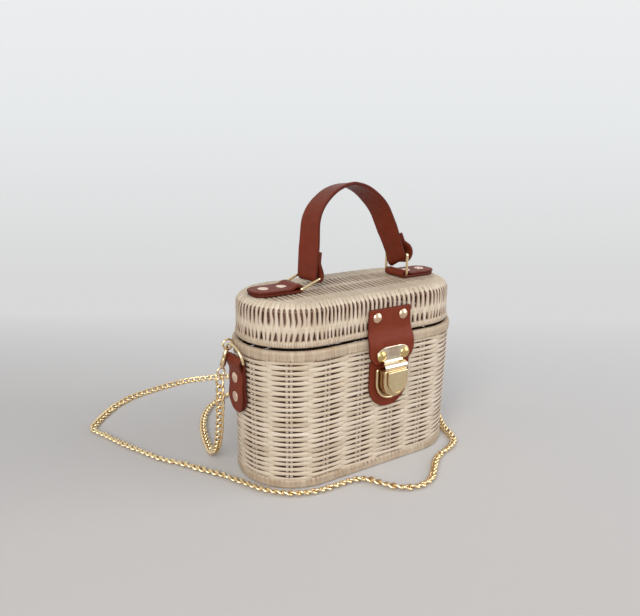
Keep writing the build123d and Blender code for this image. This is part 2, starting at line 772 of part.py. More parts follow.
def hook_body():
    """The left hook: a bend with a cup for the gate's ball, a neck and a bored barrel for the swivel."""
    down = (Align.CENTER, Align.CENTER, Align.MAX)
    bend = wire_along(bend_arc(hook_gap_low, hook_gap_high + gate_lap), hook_wire)
    tip = Pos(*on_bend(hook_gap_high)) * Box(hook_bend, 2 * hook_wire, hook_bend)
    cup = Pos(*on_bend(hook_gap_low)) * Sphere(gate_thick / 2 + clear)
    bend = bend - (about_gate_pivot(gate_reach + clear) & tip)
    neck = Cylinder(neck_radius, neck_length + neck_radius, align=down)
    neck = Pos(0, 0, neck_top + neck_radius / 2) * neck
    barrel = Pos(0, 0, barrel_top) * Cylinder(barrel_radius, barrel_length, align=down)
    barrel = fillet(barrel.edges(), neck_radius / 3)
    bore = Pos(0, 0, barrel_bottom) * Cylinder(post_radius + post_fit, 2 * (post_length + clear))
    return hook_place() * (bend + [neck, barrel] - [bore, cup])


def hook_gate():
    """The left hook's sprung gate: a ball at its pivot, a tip under the bend's end, a knob for the thumb."""
    first, last = hook_gap_high - 2 * gate_lap, hook_gap_low + 360
    gate = wire_along(bend_arc(first, last), gate_thick) & about_gate_pivot(gate_reach)
    x, y, z = on_bend((hook_gap_high + last) / 2)
    stand = 1 + gate_thick / 2 / hook_bend
    knob = Pos(x * stand, y, z * stand) * Sphere(gate_knob)
    ball = Pos(*on_bend(hook_gap_low)) * Sphere(gate_thick / 2)
    return hook_place() * (gate + [knob, ball])


def hook_swivel():
    """The left hook's swivel: a post in the barrel and an eye for the chain's last link."""
    eye = Pos(0, 0, eye_z) * Rot(90, 0, 0) * Torus(eye_radius, eye_wire / 2)
    down = (Align.CENTER, Align.CENTER, Align.MAX)
    post = Cylinder(post_radius, post_length + clear + eye_wire / 2, align=down)
    post = Pos(0, 0, barrel_bottom + post_length) * post
    return hook_place() * (eye + post)


chain_floor = chain_diameter / 2
chain_rise = (side_bar_height - chain_drop - chain_floor) / (chain_route[0][2] - chain_floor)
chain_points = [(x, y, chain_floor + (z - chain_floor) * chain_rise) for x, y, z in chain_route]


def chain_radii():
    """The bend at each inner point: as large as its two runs allow."""
    points = [Vector(*p) for p in chain_points]
    radii = []
    for before, here, after in zip(points, points[1:], points[2:]):
        run = min((here - before).length, (after - here).length)
        half_turn = radians((here - before).get_angle(after - here)) / 2
        radii.append(bend_share * run / tan(half_turn))
    return radii


def chain_strap():
    """The chain as a plain cord along its route."""
    radii = chain_radii()
    path = FilletPolyline(*chain_points, radius=radii)
    tube = wire_along(path, chain_diameter)
    solid_share = tube.volume / (pi * chain_diameter**2 / 4 * path.length)
    print("chain bend radii:", " ".join(f"{radius:.0f}" for radius in radii))
    print(f"chain length {path.length:.0f}, tube to section times length {solid_share:.4f}")
    return tube


def right(shape):
    """The right end's copy of a piece of the left end."""
    return mirror(shape, about=Plane.YZ)


def rivets(places, grip):
    """One rivet at each place."""
    return [place * rivet(grip) for place in places]


def rivets_both_ends(places, grip):
    """One rivet at each place and at its mirror image."""
    one_end = rivets(places, grip)
    return group(one_end + [right(piece) for piece in one_end])


parts = {
    "basket_wall": woven_wall(),
    "basket_stakes": stakes(),
    "basket_base": basket_base(),
    "basket_rim": basket_rim(),
    "basket_foot_rim": foot_rim(),
    "lid_weave": lid_weave(),
    "lid_rim": lid_rim(),
    "lid_hoop": lid_hoop(),
    "lid_ribs": lid_ribs(),
    "hinge_rings": group(hinge_path(0)),
    "clasp_flap": clasp_flap(),
    "flap_rivets": group(rivets(flap_rivet_places, flap_grip)),
    "hasp_plate": hasp_plate(),
    "hasp_rivets": group(rivets(hasp_rivet_places, hasp_grip)),
    "lock_backing": lock_backing(),
    "lock_case": lock_case(),
    "lock_thumb_catch": thumb_catch(),
    "lock_spring": lock_spring(),
    "lock_back_plate": lock_back_plate(),
    "handle_strap": handle_strap(),
    "handle_ring_left": handle_ring(-pivot_half, left_ring_lean),
    "handle_ring_right": handle_ring(pivot_half, right_ring_lean),
    "handle_tab_left": handle_tab(),
    "handle_tab_right": right(handle_tab()),
    "handle_rivets": rivets_both_ends(left_tab_rivet_places, tab_grip),
    "side_tab_left": side_tab(),
    "side_tab_right": right(side_tab()),
    "side_rivets": rivets_both_ends(left_side_rivet_places, side_grip),
    "side_ring_left": side_ring(),
    "side_ring_right": right(side_ring()),
    "hook_body_left": hook_body(),
    "hook_body_right": right(hook_body()),
    "hook_gate_left": hook_gate(),
    "hook_gate_right": right(hook_gate()),
    "hook_swivel_left": hook_swivel(),
    "hook_swivel_right": right(hook_swivel()),
    "chain_strap": chain_strap(),
}

os.makedirs("parts", exist_ok=True)
for node, shape in parts.items():
    export_step(shape, f"parts/{node}.step")
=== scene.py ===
"""Looks of the oval woven box bag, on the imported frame.

Lengths in the code are millimetres and angles are degrees, unless a note says otherwise.
"""
import math

import bmesh
import bpy
import numpy as np
from mathutils import Matrix, Vector


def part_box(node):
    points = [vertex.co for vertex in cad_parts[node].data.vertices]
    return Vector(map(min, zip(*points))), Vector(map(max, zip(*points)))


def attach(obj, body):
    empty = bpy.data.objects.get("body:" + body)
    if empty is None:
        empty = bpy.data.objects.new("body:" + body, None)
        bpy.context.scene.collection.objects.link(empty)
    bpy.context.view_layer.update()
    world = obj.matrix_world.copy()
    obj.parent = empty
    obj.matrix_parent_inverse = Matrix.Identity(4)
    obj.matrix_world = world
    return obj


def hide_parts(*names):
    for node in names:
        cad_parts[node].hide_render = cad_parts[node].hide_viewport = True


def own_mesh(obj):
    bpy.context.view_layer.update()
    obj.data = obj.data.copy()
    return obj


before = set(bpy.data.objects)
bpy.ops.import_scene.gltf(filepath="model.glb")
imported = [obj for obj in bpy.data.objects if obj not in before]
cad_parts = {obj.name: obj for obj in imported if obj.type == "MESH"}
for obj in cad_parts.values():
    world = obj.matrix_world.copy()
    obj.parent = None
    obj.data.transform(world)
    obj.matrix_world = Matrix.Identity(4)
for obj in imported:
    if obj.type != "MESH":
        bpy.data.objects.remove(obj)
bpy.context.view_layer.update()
rng = np.random.default_rng(7)
MM = 0.001
SIDES = ((-1, "left"), (1, "right"))

STRAIGHT = 52.0
FOOT_R, RIM_R, RIM_Z = 45.5, 47.8, 112.0
LID_R, LID_SIDE_Z, LID_TOP, LID_SHOULDER = 45.2, 138.8, 147.0, 8.2
CLASP_X = 8.0

# The camera that was fitted to the oval's rims, in radians, metres and pixels
YAW, PITCH, ROLL = 0.585989, 0.262933, 0.010089
CAMERA_SPOT = (-0.298032, -0.409172, 0.261219)
FOCAL, PICTURE, SENSOR = 627.285, 640, 36.0


def add_camera():
    """The photograph's camera."""
    data = bpy.data.cameras.new("camera")
    data.sensor_fit = "HORIZONTAL"
    data.sensor_width = SENSOR
    data.lens = FOCAL / PICTURE * SENSOR
    data.clip_start = 0.01
    camera = bpy.data.objects.new("camera", data)
    camera.matrix_world = (
        Matrix.Translation(CAMERA_SPOT) @ Matrix.Rotation(-YAW, 4, "Z")
        @ Matrix.Rotation(math.pi / 2 - PITCH, 4, "X") @ Matrix.Rotation(ROLL, 4, "Z"))
    bpy.context.collection.objects.link(camera)
    bpy.context.scene.camera = camera


# Nodes

def put(tree, node, **inputs):
    """Sets values or links on a node's inputs, by name, or by number as i0, i1 and so on."""
    for key, value in inputs.items():
        numbered = key[0] == "i" and key[1:].isdigit()
        socket = node.inputs[int(key[1:]) if numbered else key.replace("_", " ")]
        if isinstance(value, bpy.types.NodeSocket):
            tree.links.new(value, socket)
        elif socket.type == "RGBA":
            socket.default_value = (*value, 1)
        else:
            socket.default_value = value
    return node


def add(tree, kind, settings=None, **inputs):
    """A node with settings, and values or links on its inputs."""
    node = tree.nodes.new(kind)
    for key, value in (settings or {}).items():
        setattr(node, key, value)
    return put(tree, node, **inputs)


def new_group(name, kind, given, found):
    """A node tree with named inputs and outputs, and the sockets inside it that stand for them."""
    tree = bpy.data.node_groups.new(name, kind)
    for way, sockets in (("INPUT", given), ("OUTPUT", found)):
        for label, sort in sockets:
            tree.interface.new_socket(label, in_out=way, socket_type=f"NodeSocket{sort}")
    return tree, tree.nodes.new("NodeGroupInput").outputs, tree.nodes.new("NodeGroupOutput").inputs


def calc(tree, operation, a, b):
    return add(tree, "ShaderNodeMath", {"operation": operation}, i0=a, i1=b).outputs[0]


def mix(tree, factor, a, b, blend="MIX"):
    """Mixes two colours."""
    settings = {"data_type": "RGBA", "blend_type": blend}
    return add(tree, "ShaderNodeMix", settings, i0=factor, i6=a, i7=b).outputs[2]


def ramp(tree, factor, stops):
    """A colour ramp of (place, colour) stops."""
    node = add(tree, "ShaderNodeValToRGB", i0=factor)
    band = node.color_ramp
    while len(band.elements) < len(stops):
        band.elements.new(0.5)
    for element, (place, colour) in zip(band.elements, stops):
        element.position = place
        element.color = (*colour, 1)
    return node.outputs[0]


def stretch(tree, value, low, high, to_low=0.0, to_high=1.0):
    """Maps one range of a value to another."""
    return add(tree, "ShaderNodeMapRange", Value=value, From_Min=low, From_Max=high,
               To_Min=to_low, To_Max=to_high).outputs[0]


def noise(tree, vector, scale, detail):
    return add(tree, "ShaderNodeTexNoise", Vector=vector, Scale=scale, Detail=detail).outputs[0]


def bump(tree, height, strength, distance):
    return add(tree, "ShaderNodeBump", Height=height, Strength=strength, Distance=distance).outputs[0]


def coords(tree, kind):
    return add(tree, "ShaderNodeTexCoord").outputs[kind]


def scaled_uv(tree, x, y):
    """UV coordinates, stretched."""
    return add(tree, "ShaderNodeMapping", Vector=coords(tree, "UV"), Scale=(x, y, 1)).outputs[0]


def attribute(tree, name):
    return add(tree, "ShaderNodeAttribute", {"attribute_name": name}).outputs["Fac"]


# Materials

def new_material(name, roughness, metallic=0.0):
    """A material, its node tree and its shader."""
    material = bpy.data.materials.new(name)
    material.use_nodes = True
    tree = material.node_tree
    return material, tree, put(tree, tree.nodes["Principled BSDF"], Roughness=roughness, Metallic=metallic)


def wicker_material():
    """Peeled rods with a thin whitewash: streaks along the rod, and brown painted shade where rods lie
    behind their neighbours, in seams and in gaps.
    """
    material, tree, shader = new_material("wicker", 0.6)
    streak = noise(tree, scaled_uv(tree, 70, 1400), 1.0, 4.0)
    patch = noise(tree, scaled_uv(tree, 28, 60), 1.0, 2.0)
    tone = ramp(tree, attribute(tree, "tone"), [
        (0.0, (0.44, 0.345, 0.245)), (0.35, (0.54, 0.45, 0.34)),
        (0.7, (0.655, 0.565, 0.45)), (1.0, (0.74, 0.66, 0.55))])
    stain = ramp(tree, patch, [(0.55, (1, 1, 1)), (0.76, (0.92, 0.85, 0.73))])
    grain = ramp(tree, streak, [(0.3, (0.87, 0.83, 0.78)), (0.6, (1, 1, 1))])
    colour = mix(tree, 1.0, mix(tree, 0.8, tone, stain, "MULTIPLY"), grain, "MULTIPLY")
    # Painted shade: brown where a rod carries its painted shade value.
    colour = mix(tree, attribute(tree, "deep"), colour, (0.2, 0.092, 0.06))
    put(tree, shader, Base_Color=colour, Normal=bump(tree, streak, 0.35, 0.0004))
    return material


def leather_material():
    """Reddish brown leather: fine pores, soft mottling, darker cut edges."""
    material, tree, shader = new_material("leather", 0.45)
    spot = coords(tree, "Object")
    mottle, crease = noise(tree, spot, 160.0, 4.0), noise(tree, spot, 700.0, 3.0)
    pores = add(tree, "ShaderNodeTexVoronoi", Vector=spot, Scale=1500.0).outputs[0]
    colour = ramp(tree, mottle, [(0.3, (0.152, 0.0255, 0.0105)), (0.7, (0.182, 0.0315, 0.013))])
    put(tree, shader, Base_Color=mix(tree, attribute(tree, "edge"), colour, (0.085, 0.015, 0.008)),
        Roughness=stretch(tree, crease, 0.3, 0.7, 0.36, 0.52), Specular_IOR_Level=0.12,
        Normal=bump(tree, calc(tree, "ADD", pores, crease), 0.22, 0.0003))
    return material


def uneven_polish():
    """A node group for plated metal: a clouded colour, brown painted shade and painted reflection by the
    shade value, and its roughness.
    """
    group, given, found = new_group(
        "uneven_polish", "ShaderNodeTree",
        (("Bright", "Color"), ("Dull", "Color"), ("Smooth", "Float"), ("Rough", "Float")),
        (("Colour", "Color"), ("Roughness", "Float")))
    cloud = noise(group, coords(group, "Object"), 220.0, 3.0)
    colour = mix(group, stretch(group, cloud, 0.35, 0.75), given["Bright"], given["Dull"])
    rough = stretch(group, cloud, 0.3, 0.7, given["Smooth"], given["Rough"])
    # Painted shade and painted reflection: brown by the shade value.
    group.links.new(mix(group, attribute(group, "shade"), colour, (0.24, 0.095, 0.055)), found["Colour"])
    group.links.new(rough, found["Roughness"])
    return group


POLISH = uneven_polish()


def metal_material(name, bright, dull, roughness):
    """Plated metal with faint uneven polish."""
    material, tree, shader = new_material(name, roughness, 1.0)
    polish = add(tree, "ShaderNodeGroup", {"node_tree": POLISH}, Bright=bright, Dull=dull,
                 Smooth=roughness * 0.8, Rough=roughness * 1.3).outputs
    put(tree, shader, Base_Color=polish["Colour"], Roughness=polish["Roughness"])
    return material


WICKER = wicker_material()
LEATHER = leather_material()
HASP = metal_material("hasp_metal", (0.80, 0.70, 0.55), (0.70, 0.58, 0.42), 0.2)
# A darker copy of the gold for the hasp's rivets: painted dark reflection.
GOLD_PAINTED_DARK = metal_material("rivet_gold_painted_dark", (0.66, 0.50, 0.22), (0.56, 0.40, 0.15), 0.2)
GOLD = metal_material("gold_metal", (0.82, 0.66, 0.40), (0.75, 0.58, 0.33), 0.13)
ROSE = metal_material("rivet_rose", (0.95, 0.78, 0.66), (0.90, 0.70, 0.57), 0.34)
# A darker copy of the rose rivet metal for the flap's rivets: painted dark reflection.
ROSE_PAINTED_DARK = metal_material("rivet_rose_painted_dark", (0.76, 0.55, 0.38), (0.68, 0.47, 0.31), 0.2)
CHAIN = metal_material("chain_metal", (0.90, 0.72, 0.43), (0.82, 0.62, 0.34), 0.17)
STEEL = metal_material("spring_steel", (0.56, 0.56, 0.57), (0.48, 0.48, 0.50), 0.3)


# Mesh building

def corners(cells):
    """The four corners of each cell of a grid."""
    return np.stack([cells[:-1, :-1], cells[1:, :-1], cells[1:, 1:], cells[:-1, 1:]], 2)


class Pile:
    """Collects swept surfaces and makes one mesh object of them."""

    def __init__(self):
        self.points, self.faces, self.uvs, self.count = [], [], [], 0
        self.values = {}

    def add(self, rings, loop=False, caps=False, u=None, v=1.0, **values):
        """Rings of points along a line or loop, with UVs along it and round it, and named values."""
        n, m = rings.shape[:2]
        index = self.count + np.arange(n * m).reshape(n, m)
        near = np.vstack([index, index[:1]]) if loop else index
        near = np.hstack([near, near[:, :1]])
        u = np.linspace(0, 1, len(near)) if u is None else u
        both = np.stack(np.meshgrid(u, np.linspace(0, v, m + 1), indexing="ij"), -1)
        self.faces.append(corners(near).reshape(-1, 4))
        self.uvs.append(corners(both).reshape(-1, 2))
        if caps:
            for ring, end in ((index[0][::-1], both[0]), (index[-1], both[-1])):
                self.faces.append(ring[None])
                self.uvs.append(end[:m])
        self.points.append(rings.reshape(-1, 3))
        for name, value in values.items():
            spread = np.broadcast_to(np.asarray(value, float), (n, m)).reshape(-1)
            self.values.setdefault(name, []).append(spread)
        self.count += n * m
        return self

    def shape(self, name, material):
        """The mesh object, not yet placed."""
        mesh = bpy.data.meshes.new(name)
        points = np.concatenate(self.points) * MM
        loops = np.concatenate([f.reshape(-1) for f in self.faces])
        totals = np.concatenate([np.full(len(f), f.shape[1]) for f in self.faces])
        mesh.vertices.add(len(points))
        mesh.vertices.foreach_set("co", points.reshape(-1))
        mesh.loops.add(len(loops))
        mesh.loops.foreach_set("vertex_index", loops)
        mesh.polygons.add(len(totals))
        mesh.polygons.foreach_set("loop_start", np.cumsum(totals) - totals)
        mesh.polygons.foreach_set("use_smooth", np.ones(len(totals), bool))
        layer = mesh.uv_layers.new(name="rod")
        layer.data.foreach_set("uv", np.concatenate(self.uvs).reshape(-1))
        for key, parts in self.values.items():
            mesh.attributes.new(key, "FLOAT", "POINT").data.foreach_set("value", np.concatenate(parts))
        mesh.materials.append(material)
        mesh.update(calc_edges=True)
        mesh.validate()
        return bpy.data.objects.new(name, mesh)

    def make(self, name, material, body, slot, node, sharp=None, weld=False):
        """The mesh object, riding on its body for a CAD node, and cleaned where an angle is given."""
        piece = place(self.shape(name, material), body, slot, node)
        return clean(piece, sharp, weld) if sharp else piece


def place(piece, body, slot, *nodes):
    """Links a piece, lets it ride on its body and hides the CAD nodes that it stands for."""
    if piece.name not in bpy.context.collection.objects:
        bpy.context.collection.objects.link(piece)
    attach(piece, body)
    if nodes:
        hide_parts(*nodes)
    return piece


def clean(piece, sharp, weld=False):
    """Outward faces, edges kept sharp at large angles and, if asked, points that lie together made one."""
    work = bmesh.new()
    work.from_mesh(piece.data)
    if weld:
        bmesh.ops.remove_doubles(work, verts=work.verts, dist=0.00001)
    bmesh.ops.recalc_face_normals(work, faces=work.faces)
    for edge in work.edges:
        if len(edge.link_faces) == 2 and edge.calc_face_angle(0) > math.radians(sharp):
            edge.smooth = False
    work.to_mesh(piece.data)
    work.free()
    return piece


def copies_tree():
    """Geometry nodes: a copy of a shape at every spot, with the spot's own turn, kept above a level."""
    tree, given, found = new_group(
        "copies", "GeometryNodeTree",
        (("Spots", "Geometry"), ("Shape", "Object"), ("Lowest", "Float"), ("Finish", "Material")),
        (("Copies", "Geometry"),))
    shape = add(tree, "GeometryNodeObjectInfo", Object=given["Shape"]).outputs["Geometry"]
    turn = add(tree, "GeometryNodeInputNamedAttribute", {"data_type": "FLOAT_VECTOR"}, Name="turn")
    spread = add(tree, "GeometryNodeInstanceOnPoints", Points=given["Spots"], Instance=shape,
                 Rotation=turn.outputs["Attribute"])
    real = add(tree, "GeometryNodeRealizeInstances", Geometry=spread.outputs[0])
    position = add(tree, "GeometryNodeInputPosition").outputs[0]
    x, y, z = add(tree, "ShaderNodeSeparateXYZ", Vector=position).outputs
    raised = add(tree, "ShaderNodeCombineXYZ", X=x, Y=y, Z=calc(tree, "MAXIMUM", z, given["Lowest"]))
    moved = add(tree, "GeometryNodeSetPosition", Geometry=real.outputs[0], Position=raised.outputs[0])
    done = add(tree, "GeometryNodeSetMaterial", Geometry=moved.outputs[0], Material=given["Finish"])
    tree.links.new(done.outputs[0], found[0])
    return tree


COPIES = copies_tree()


def copies(name, shape, spots, turns, lowest=-1000.0, **values):
    """One mesh of a shape set at spots, each turned by three angles, with a named value for each copy."""
    points = bpy.data.meshes.new(name)
    points.from_pydata([MM * Vector(s) for s in spots], [], [])
    points.attributes.new("turn", "FLOAT_VECTOR", "POINT").data.foreach_set("vector", np.ravel(turns))
    for key, value in values.items():
        points.attributes.new(key, "FLOAT", "POINT").data.foreach_set("value", np.ravel(value))
    piece = bpy.data.objects.new(name, points)
    for thing in (shape, piece):
        bpy.context.collection.objects.link(thing)
    modifier = piece.modifiers.new("copies", "NODES")
    modifier.node_group = COPIES
    sockets = {item.name: item.identifier for item in COPIES.interface.items_tree if item.in_out == "INPUT"}
    for label, value in (("Shape", shape), ("Lowest", lowest * MM), ("Finish", shape.data.materials[0])):
        modifier[sockets[label]] = value
    made = bpy.data.meshes.new_from_object(piece.evaluated_get(bpy.context.evaluated_depsgraph_get()))
    piece.modifiers.remove(modifier)
    piece.data = made
    made.name = name
    bpy.data.meshes.remove(points)
    bpy.data.objects.remove(shape)
    return piece


def turned(x, z):
    """Angles that turn a shape's own x and z to the given directions."""
    x, z = Vector(x).normalized(), Vector(z).normalized()
    return Matrix((x, z.cross(x), z)).transposed().to_euler()


# Lines

def cos_sin(angle):
    return math.cos(math.radians(angle)), math.sin(math.radians(angle))


def unit(vectors):
    return vectors / np.linalg.norm(vectors, axis=-1, keepdims=True)


def smoothstep(low, high, value):
    t = np.clip((value - low) / (high - low), 0, 1)
    return t * t * (3 - 2 * t)


def quarter(share):
    """The height of a quarter circle at a share of the way in from its foot."""
    return np.sqrt(np.clip(1 - (1 - np.clip(share, 0, 1)) ** 2, 0, 1))


def travelled(points):
    """The distance gone at each point of a line."""
    return np.append(0, np.cumsum(np.linalg.norm(np.diff(points, axis=0), axis=1)))


def at_distances(points, at):
    """Points of a line at distances along it."""
    gone = travelled(points)
    return np.stack([np.interp(at, gone, points[:, k]) for k in range(3)], -1)


def resample(points, spacing):
    """Points evenly along a line."""
    points = np.asarray(points, float)
    length = travelled(points)[-1]
    return at_distances(points, np.linspace(0, length, max(int(length / spacing), 4) + 1))


def tangents(points, closed=False):
    """Directions along a line of points."""
    if closed:
        return unit(np.roll(points, -1, 0) - np.roll(points, 1, 0))
    return unit(np.gradient(points, axis=0))


def tube(points, normals, half_n, half_b, sides=8, closed=False, power=1.0):
    """Rings of an oval section along a line: half sizes along the normal and across it."""
    run = tangents(points, closed)
    across = unit(np.cross(np.broadcast_to(np.asarray(normals, float), points.shape), run))
    out = np.cross(run, across)
    turn = np.arange(sides) / sides * 2 * np.pi
    half_n = np.broadcast_to(half_n, len(points))[:, None, None]
    half_b = np.broadcast_to(half_b, len(points))[:, None, None]
    c, s = np.cos(turn), np.sin(turn)
    c, s = np.sign(c) * np.abs(c) ** power, np.sign(s) * np.abs(s) ** power
    return (points[:, None] + out[:, None] * half_n * c[None, :, None]
            + across[:, None] * half_b * s[None, :, None])


def wire(pile, points, radius, normal, closed=False):
    """Round wire along points of a plane with the given normal."""
    rings = tube(np.asarray(points, float), normal, radius, radius, 12, closed)
    return pile.add(rings, loop=closed, caps=not closed, shade=0)


def arc_xz(centre, radius, start, end, steps):
    """Points of an arc in the XZ plane, with angles from +X towards +Z."""
    turn = np.radians(np.linspace(start, end, steps))
    x, z = centre[0] + radius * np.cos(turn), centre[1] + radius * np.sin(turn)
    return np.stack([x, np.zeros(steps), z], -1)


def rounded(low, high, radii, steps):
    """A rectangle with round corners, as points round from its low corner."""
    line = []
    for i, r in enumerate(radii):
        centre = (high[0] - r if i in (1, 2) else low[0] + r, high[1] - r if i > 1 else low[1] + r)
        line.append(arc_xz(centre, r, 180 + 90 * i, 270 + 90 * i, steps)[:, [0, 2]])
    return np.concatenate(line)


def wobble(count, knots, size):
    """A smooth random wave round a closed line."""
    values = rng.normal(0, size, knots)
    t = np.arange(count) / count * knots
    i = t.astype(int)
    f = (1 - np.cos((t - i) * np.pi)) / 2
    return values[i % knots] * (1 - f) + values[(i + 1) % knots] * f


# The oval

STAKES, STAKE_PITCH, STAKE_START = 16, 31.35, -17.65
AROUND = STAKES * STAKE_PITCH
MID_R = (AROUND - 4 * STRAIGHT) / (2 * np.pi)


def oval(run):
    """Where a run from the front's middle is: the end centre's x and the outward normal."""
    run = np.mod(np.asarray(run, float), AROUND)
    end = np.pi * MID_R
    bounds = [STRAIGHT, STRAIGHT + end, 3 * STRAIGHT + end, 3 * STRAIGHT + 2 * end]
    where = [run < b for b in bounds]
    x = np.select(where, [run, STRAIGHT, 2 * STRAIGHT + end - run, -STRAIGHT], run - AROUND)
    turns = [0.0, (run - bounds[0]) / MID_R, np.pi, np.pi + (run - bounds[2]) / MID_R]
    turn = np.select(where, turns, 2 * np.pi)
    return x, np.stack([np.sin(turn), -np.cos(turn), np.zeros_like(run)], -1)


def on_oval(run, radius, z):
    """Points and normals at a radius and a height."""
    x, normal = oval(run)
    points = normal * np.broadcast_to(radius, run.shape)[:, None]
    points[:, 0] += x
    points[:, 2] += z
    return points, normal


def round_oval(steps):
    """Runs of evenly spaced points round the oval, and the UVs along them."""
    run = np.arange(steps) / steps * AROUND
    return run, np.append(run, AROUND) * MM


def basket_radius(z):
    return FOOT_R + (RIM_R - FOOT_R) * z / RIM_Z


# Weave

ROWS, ROW_LOW, ROW_HIGH, ROW_STEPS = 47, 8.4, 103.6, STAKES * 12
WEAVE_IN, ROD_HALF, ROD_PITCH, ROD_SIDES, FLAT_ROD = 3.5, 0.7, 2.07, 10, 0.55
SLIT_EDGE, SLIT_END, SLIT_TAPER, CLOSED, BEHIND = 0.63, 0.99, 0.83, 0.6, 0.82
LEAST_REACH, CLOSE_FROM, CLOSE_OVER, DIVE = 7.0, 0.84, 0.14, (0.6, 0.9)
# Strengths of the painted shade on the rods and in the wraps' grooves
HIDDEN, FLANK = 0.95, 0.9
RIDGE_MEAN, GROOVE_LEAST, GROOVE, GROOVE_INSIDE, TICK_EDGE = 0.7, 0.08, 0.45, 0.35, (4.0, 2.2)


def weave(travel, stops, odd, closed=CLOSED):
    """How far in a rod lies, its half width and how open its slits are, by the uprights that it passes.

    Each stop has its place, 1 where odd rods pass outside it or -1 where even ones do, its reach before
    and after, the rod's width in front of it, and the share of the reach where the slit begins to close.
    """
    sunk = np.zeros_like(travel)
    slit = np.zeros_like(travel)
    wide = np.full_like(travel, closed)
    for spot, sign, before, after, narrow, begin in stops:
        away = travel - spot
        reach = np.where(away < 0, before, after)
        back = np.maximum(reach, LEAST_REACH)
        away = np.abs(away)
        taper = np.clip((away / reach - begin) / (SLIT_TAPER - begin), 0, 1)
        closing = np.clip((away / back - CLOSE_FROM) / CLOSE_OVER, 0, 1)
        near = away < back
        if (sign > 0) == bool(odd):
            opened = narrow + (SLIT_END - narrow) * taper - (SLIT_END - closed) * closing
            wide = np.where(near, opened, wide)
            slit = np.where(near, 1 - taper, slit)
        else:
            sunk = np.where(near, 1 - smoothstep(*DIVE, away / back), sunk)
            wide = np.where(near, BEHIND - (BEHIND - closed) * closing, wide)
    return sunk, wide * ROD_PITCH, slit


def rod_depth(sunk, slit, seam, shoulder=0.0, under=(0.02, 0.2)):
    """Painted shade: brown where a rod lies behind its neighbours, on its hidden side, in seams and beside
    a slit.
    """
    turn = np.cos(np.arange(ROD_SIDES) / ROD_SIDES * 2 * np.pi)
    opened = smoothstep(0.0, 0.25, slit)
    flank = np.maximum(seam, FLANK * opened)[:, None] * (np.abs(turn) < 0.5)
    flank = np.maximum(flank, shoulder * opened[:, None] * (np.abs(turn) < 0.9))
    behind = HIDDEN * smoothstep(*under, sunk)
    return np.maximum(np.maximum(behind[:, None], flank), FLANK * smoothstep(-0.1, -0.8, turn)[None])


def basket_weave():
    """Rows of weavers that pass in turn outside and inside the pairs of stakes."""
    pile = Pile()
    run, length = round_oval(ROW_STEPS)
    half = STAKE_PITCH / 2
    stops = [(STAKE_START + k * STAKE_PITCH, 1 if k % 2 else -1, half, half, SLIT_EDGE, 0.15)
             for k in range(STAKES + 2)]
    pitch = (ROW_HIGH - ROW_LOW) / (ROWS - 1)
    for row in range(ROWS):
        sunk, wide, slit = weave(run, stops, row % 2)
        z = ROW_LOW + pitch * row + wobble(ROW_STEPS, 24, 0.13) + rng.normal(0, 0.06)
        radius = basket_radius(z) - ROD_HALF - 0.25 + wobble(ROW_STEPS, STAKES, 0.1) - WEAVE_IN * sunk
        points, normals = on_oval(run, radius, z)
        thick = 1 + rng.normal(0, 0.03) + wobble(ROW_STEPS, 16, 0.05)
        rings = tube(points, normals, ROD_HALF, wide * thick, ROD_SIDES, True, FLAT_ROD)
        tone = np.clip(0.6 + rng.normal(0, 0.09) + wobble(ROW_STEPS, 9, 0.07), 0, 1)
        # Painted shade along each row, from how it passes the stakes.
        pile.add(rings, loop=True, u=length + row * 0.37, v=0.0063, tone=tone[:, None],
                 deep=rod_depth(sunk, slit, 0.12))
    pile.make("basket_weave", WICKER, "basket", "wicker", "basket_wall")


def basket_stakes():
    """The pairs of upright rods between the weavers."""
    z = np.linspace(5.0, 104.0, 14)
    points = np.stack([np.zeros(14), -(basket_radius(z) - 2 * ROD_HALF - 0.7), z], -1)
    rod = Pile().add(tube(points, (0, -1, 0), 1.0, 1.15), caps=True, u=z * MM, v=0.0066, deep=0.0)
    run = STAKE_START + STAKE_PITCH * np.repeat(np.arange(STAKES), 2) + 1.75 * np.tile([-1, 1], STAKES)
    x, normal = oval(run)
    zero = np.zeros_like(run)
    turns = np.stack([zero, zero, np.arctan2(normal[:, 0], -normal[:, 1])], -1)
    rods = copies("basket_rods", rod.shape("rod", WICKER), np.stack([x, zero, zero], -1), turns,
                  tone=rng.uniform(0.5, 0.8, 2 * STAKES))
    place(rods, "basket", "cane", "basket_stakes")


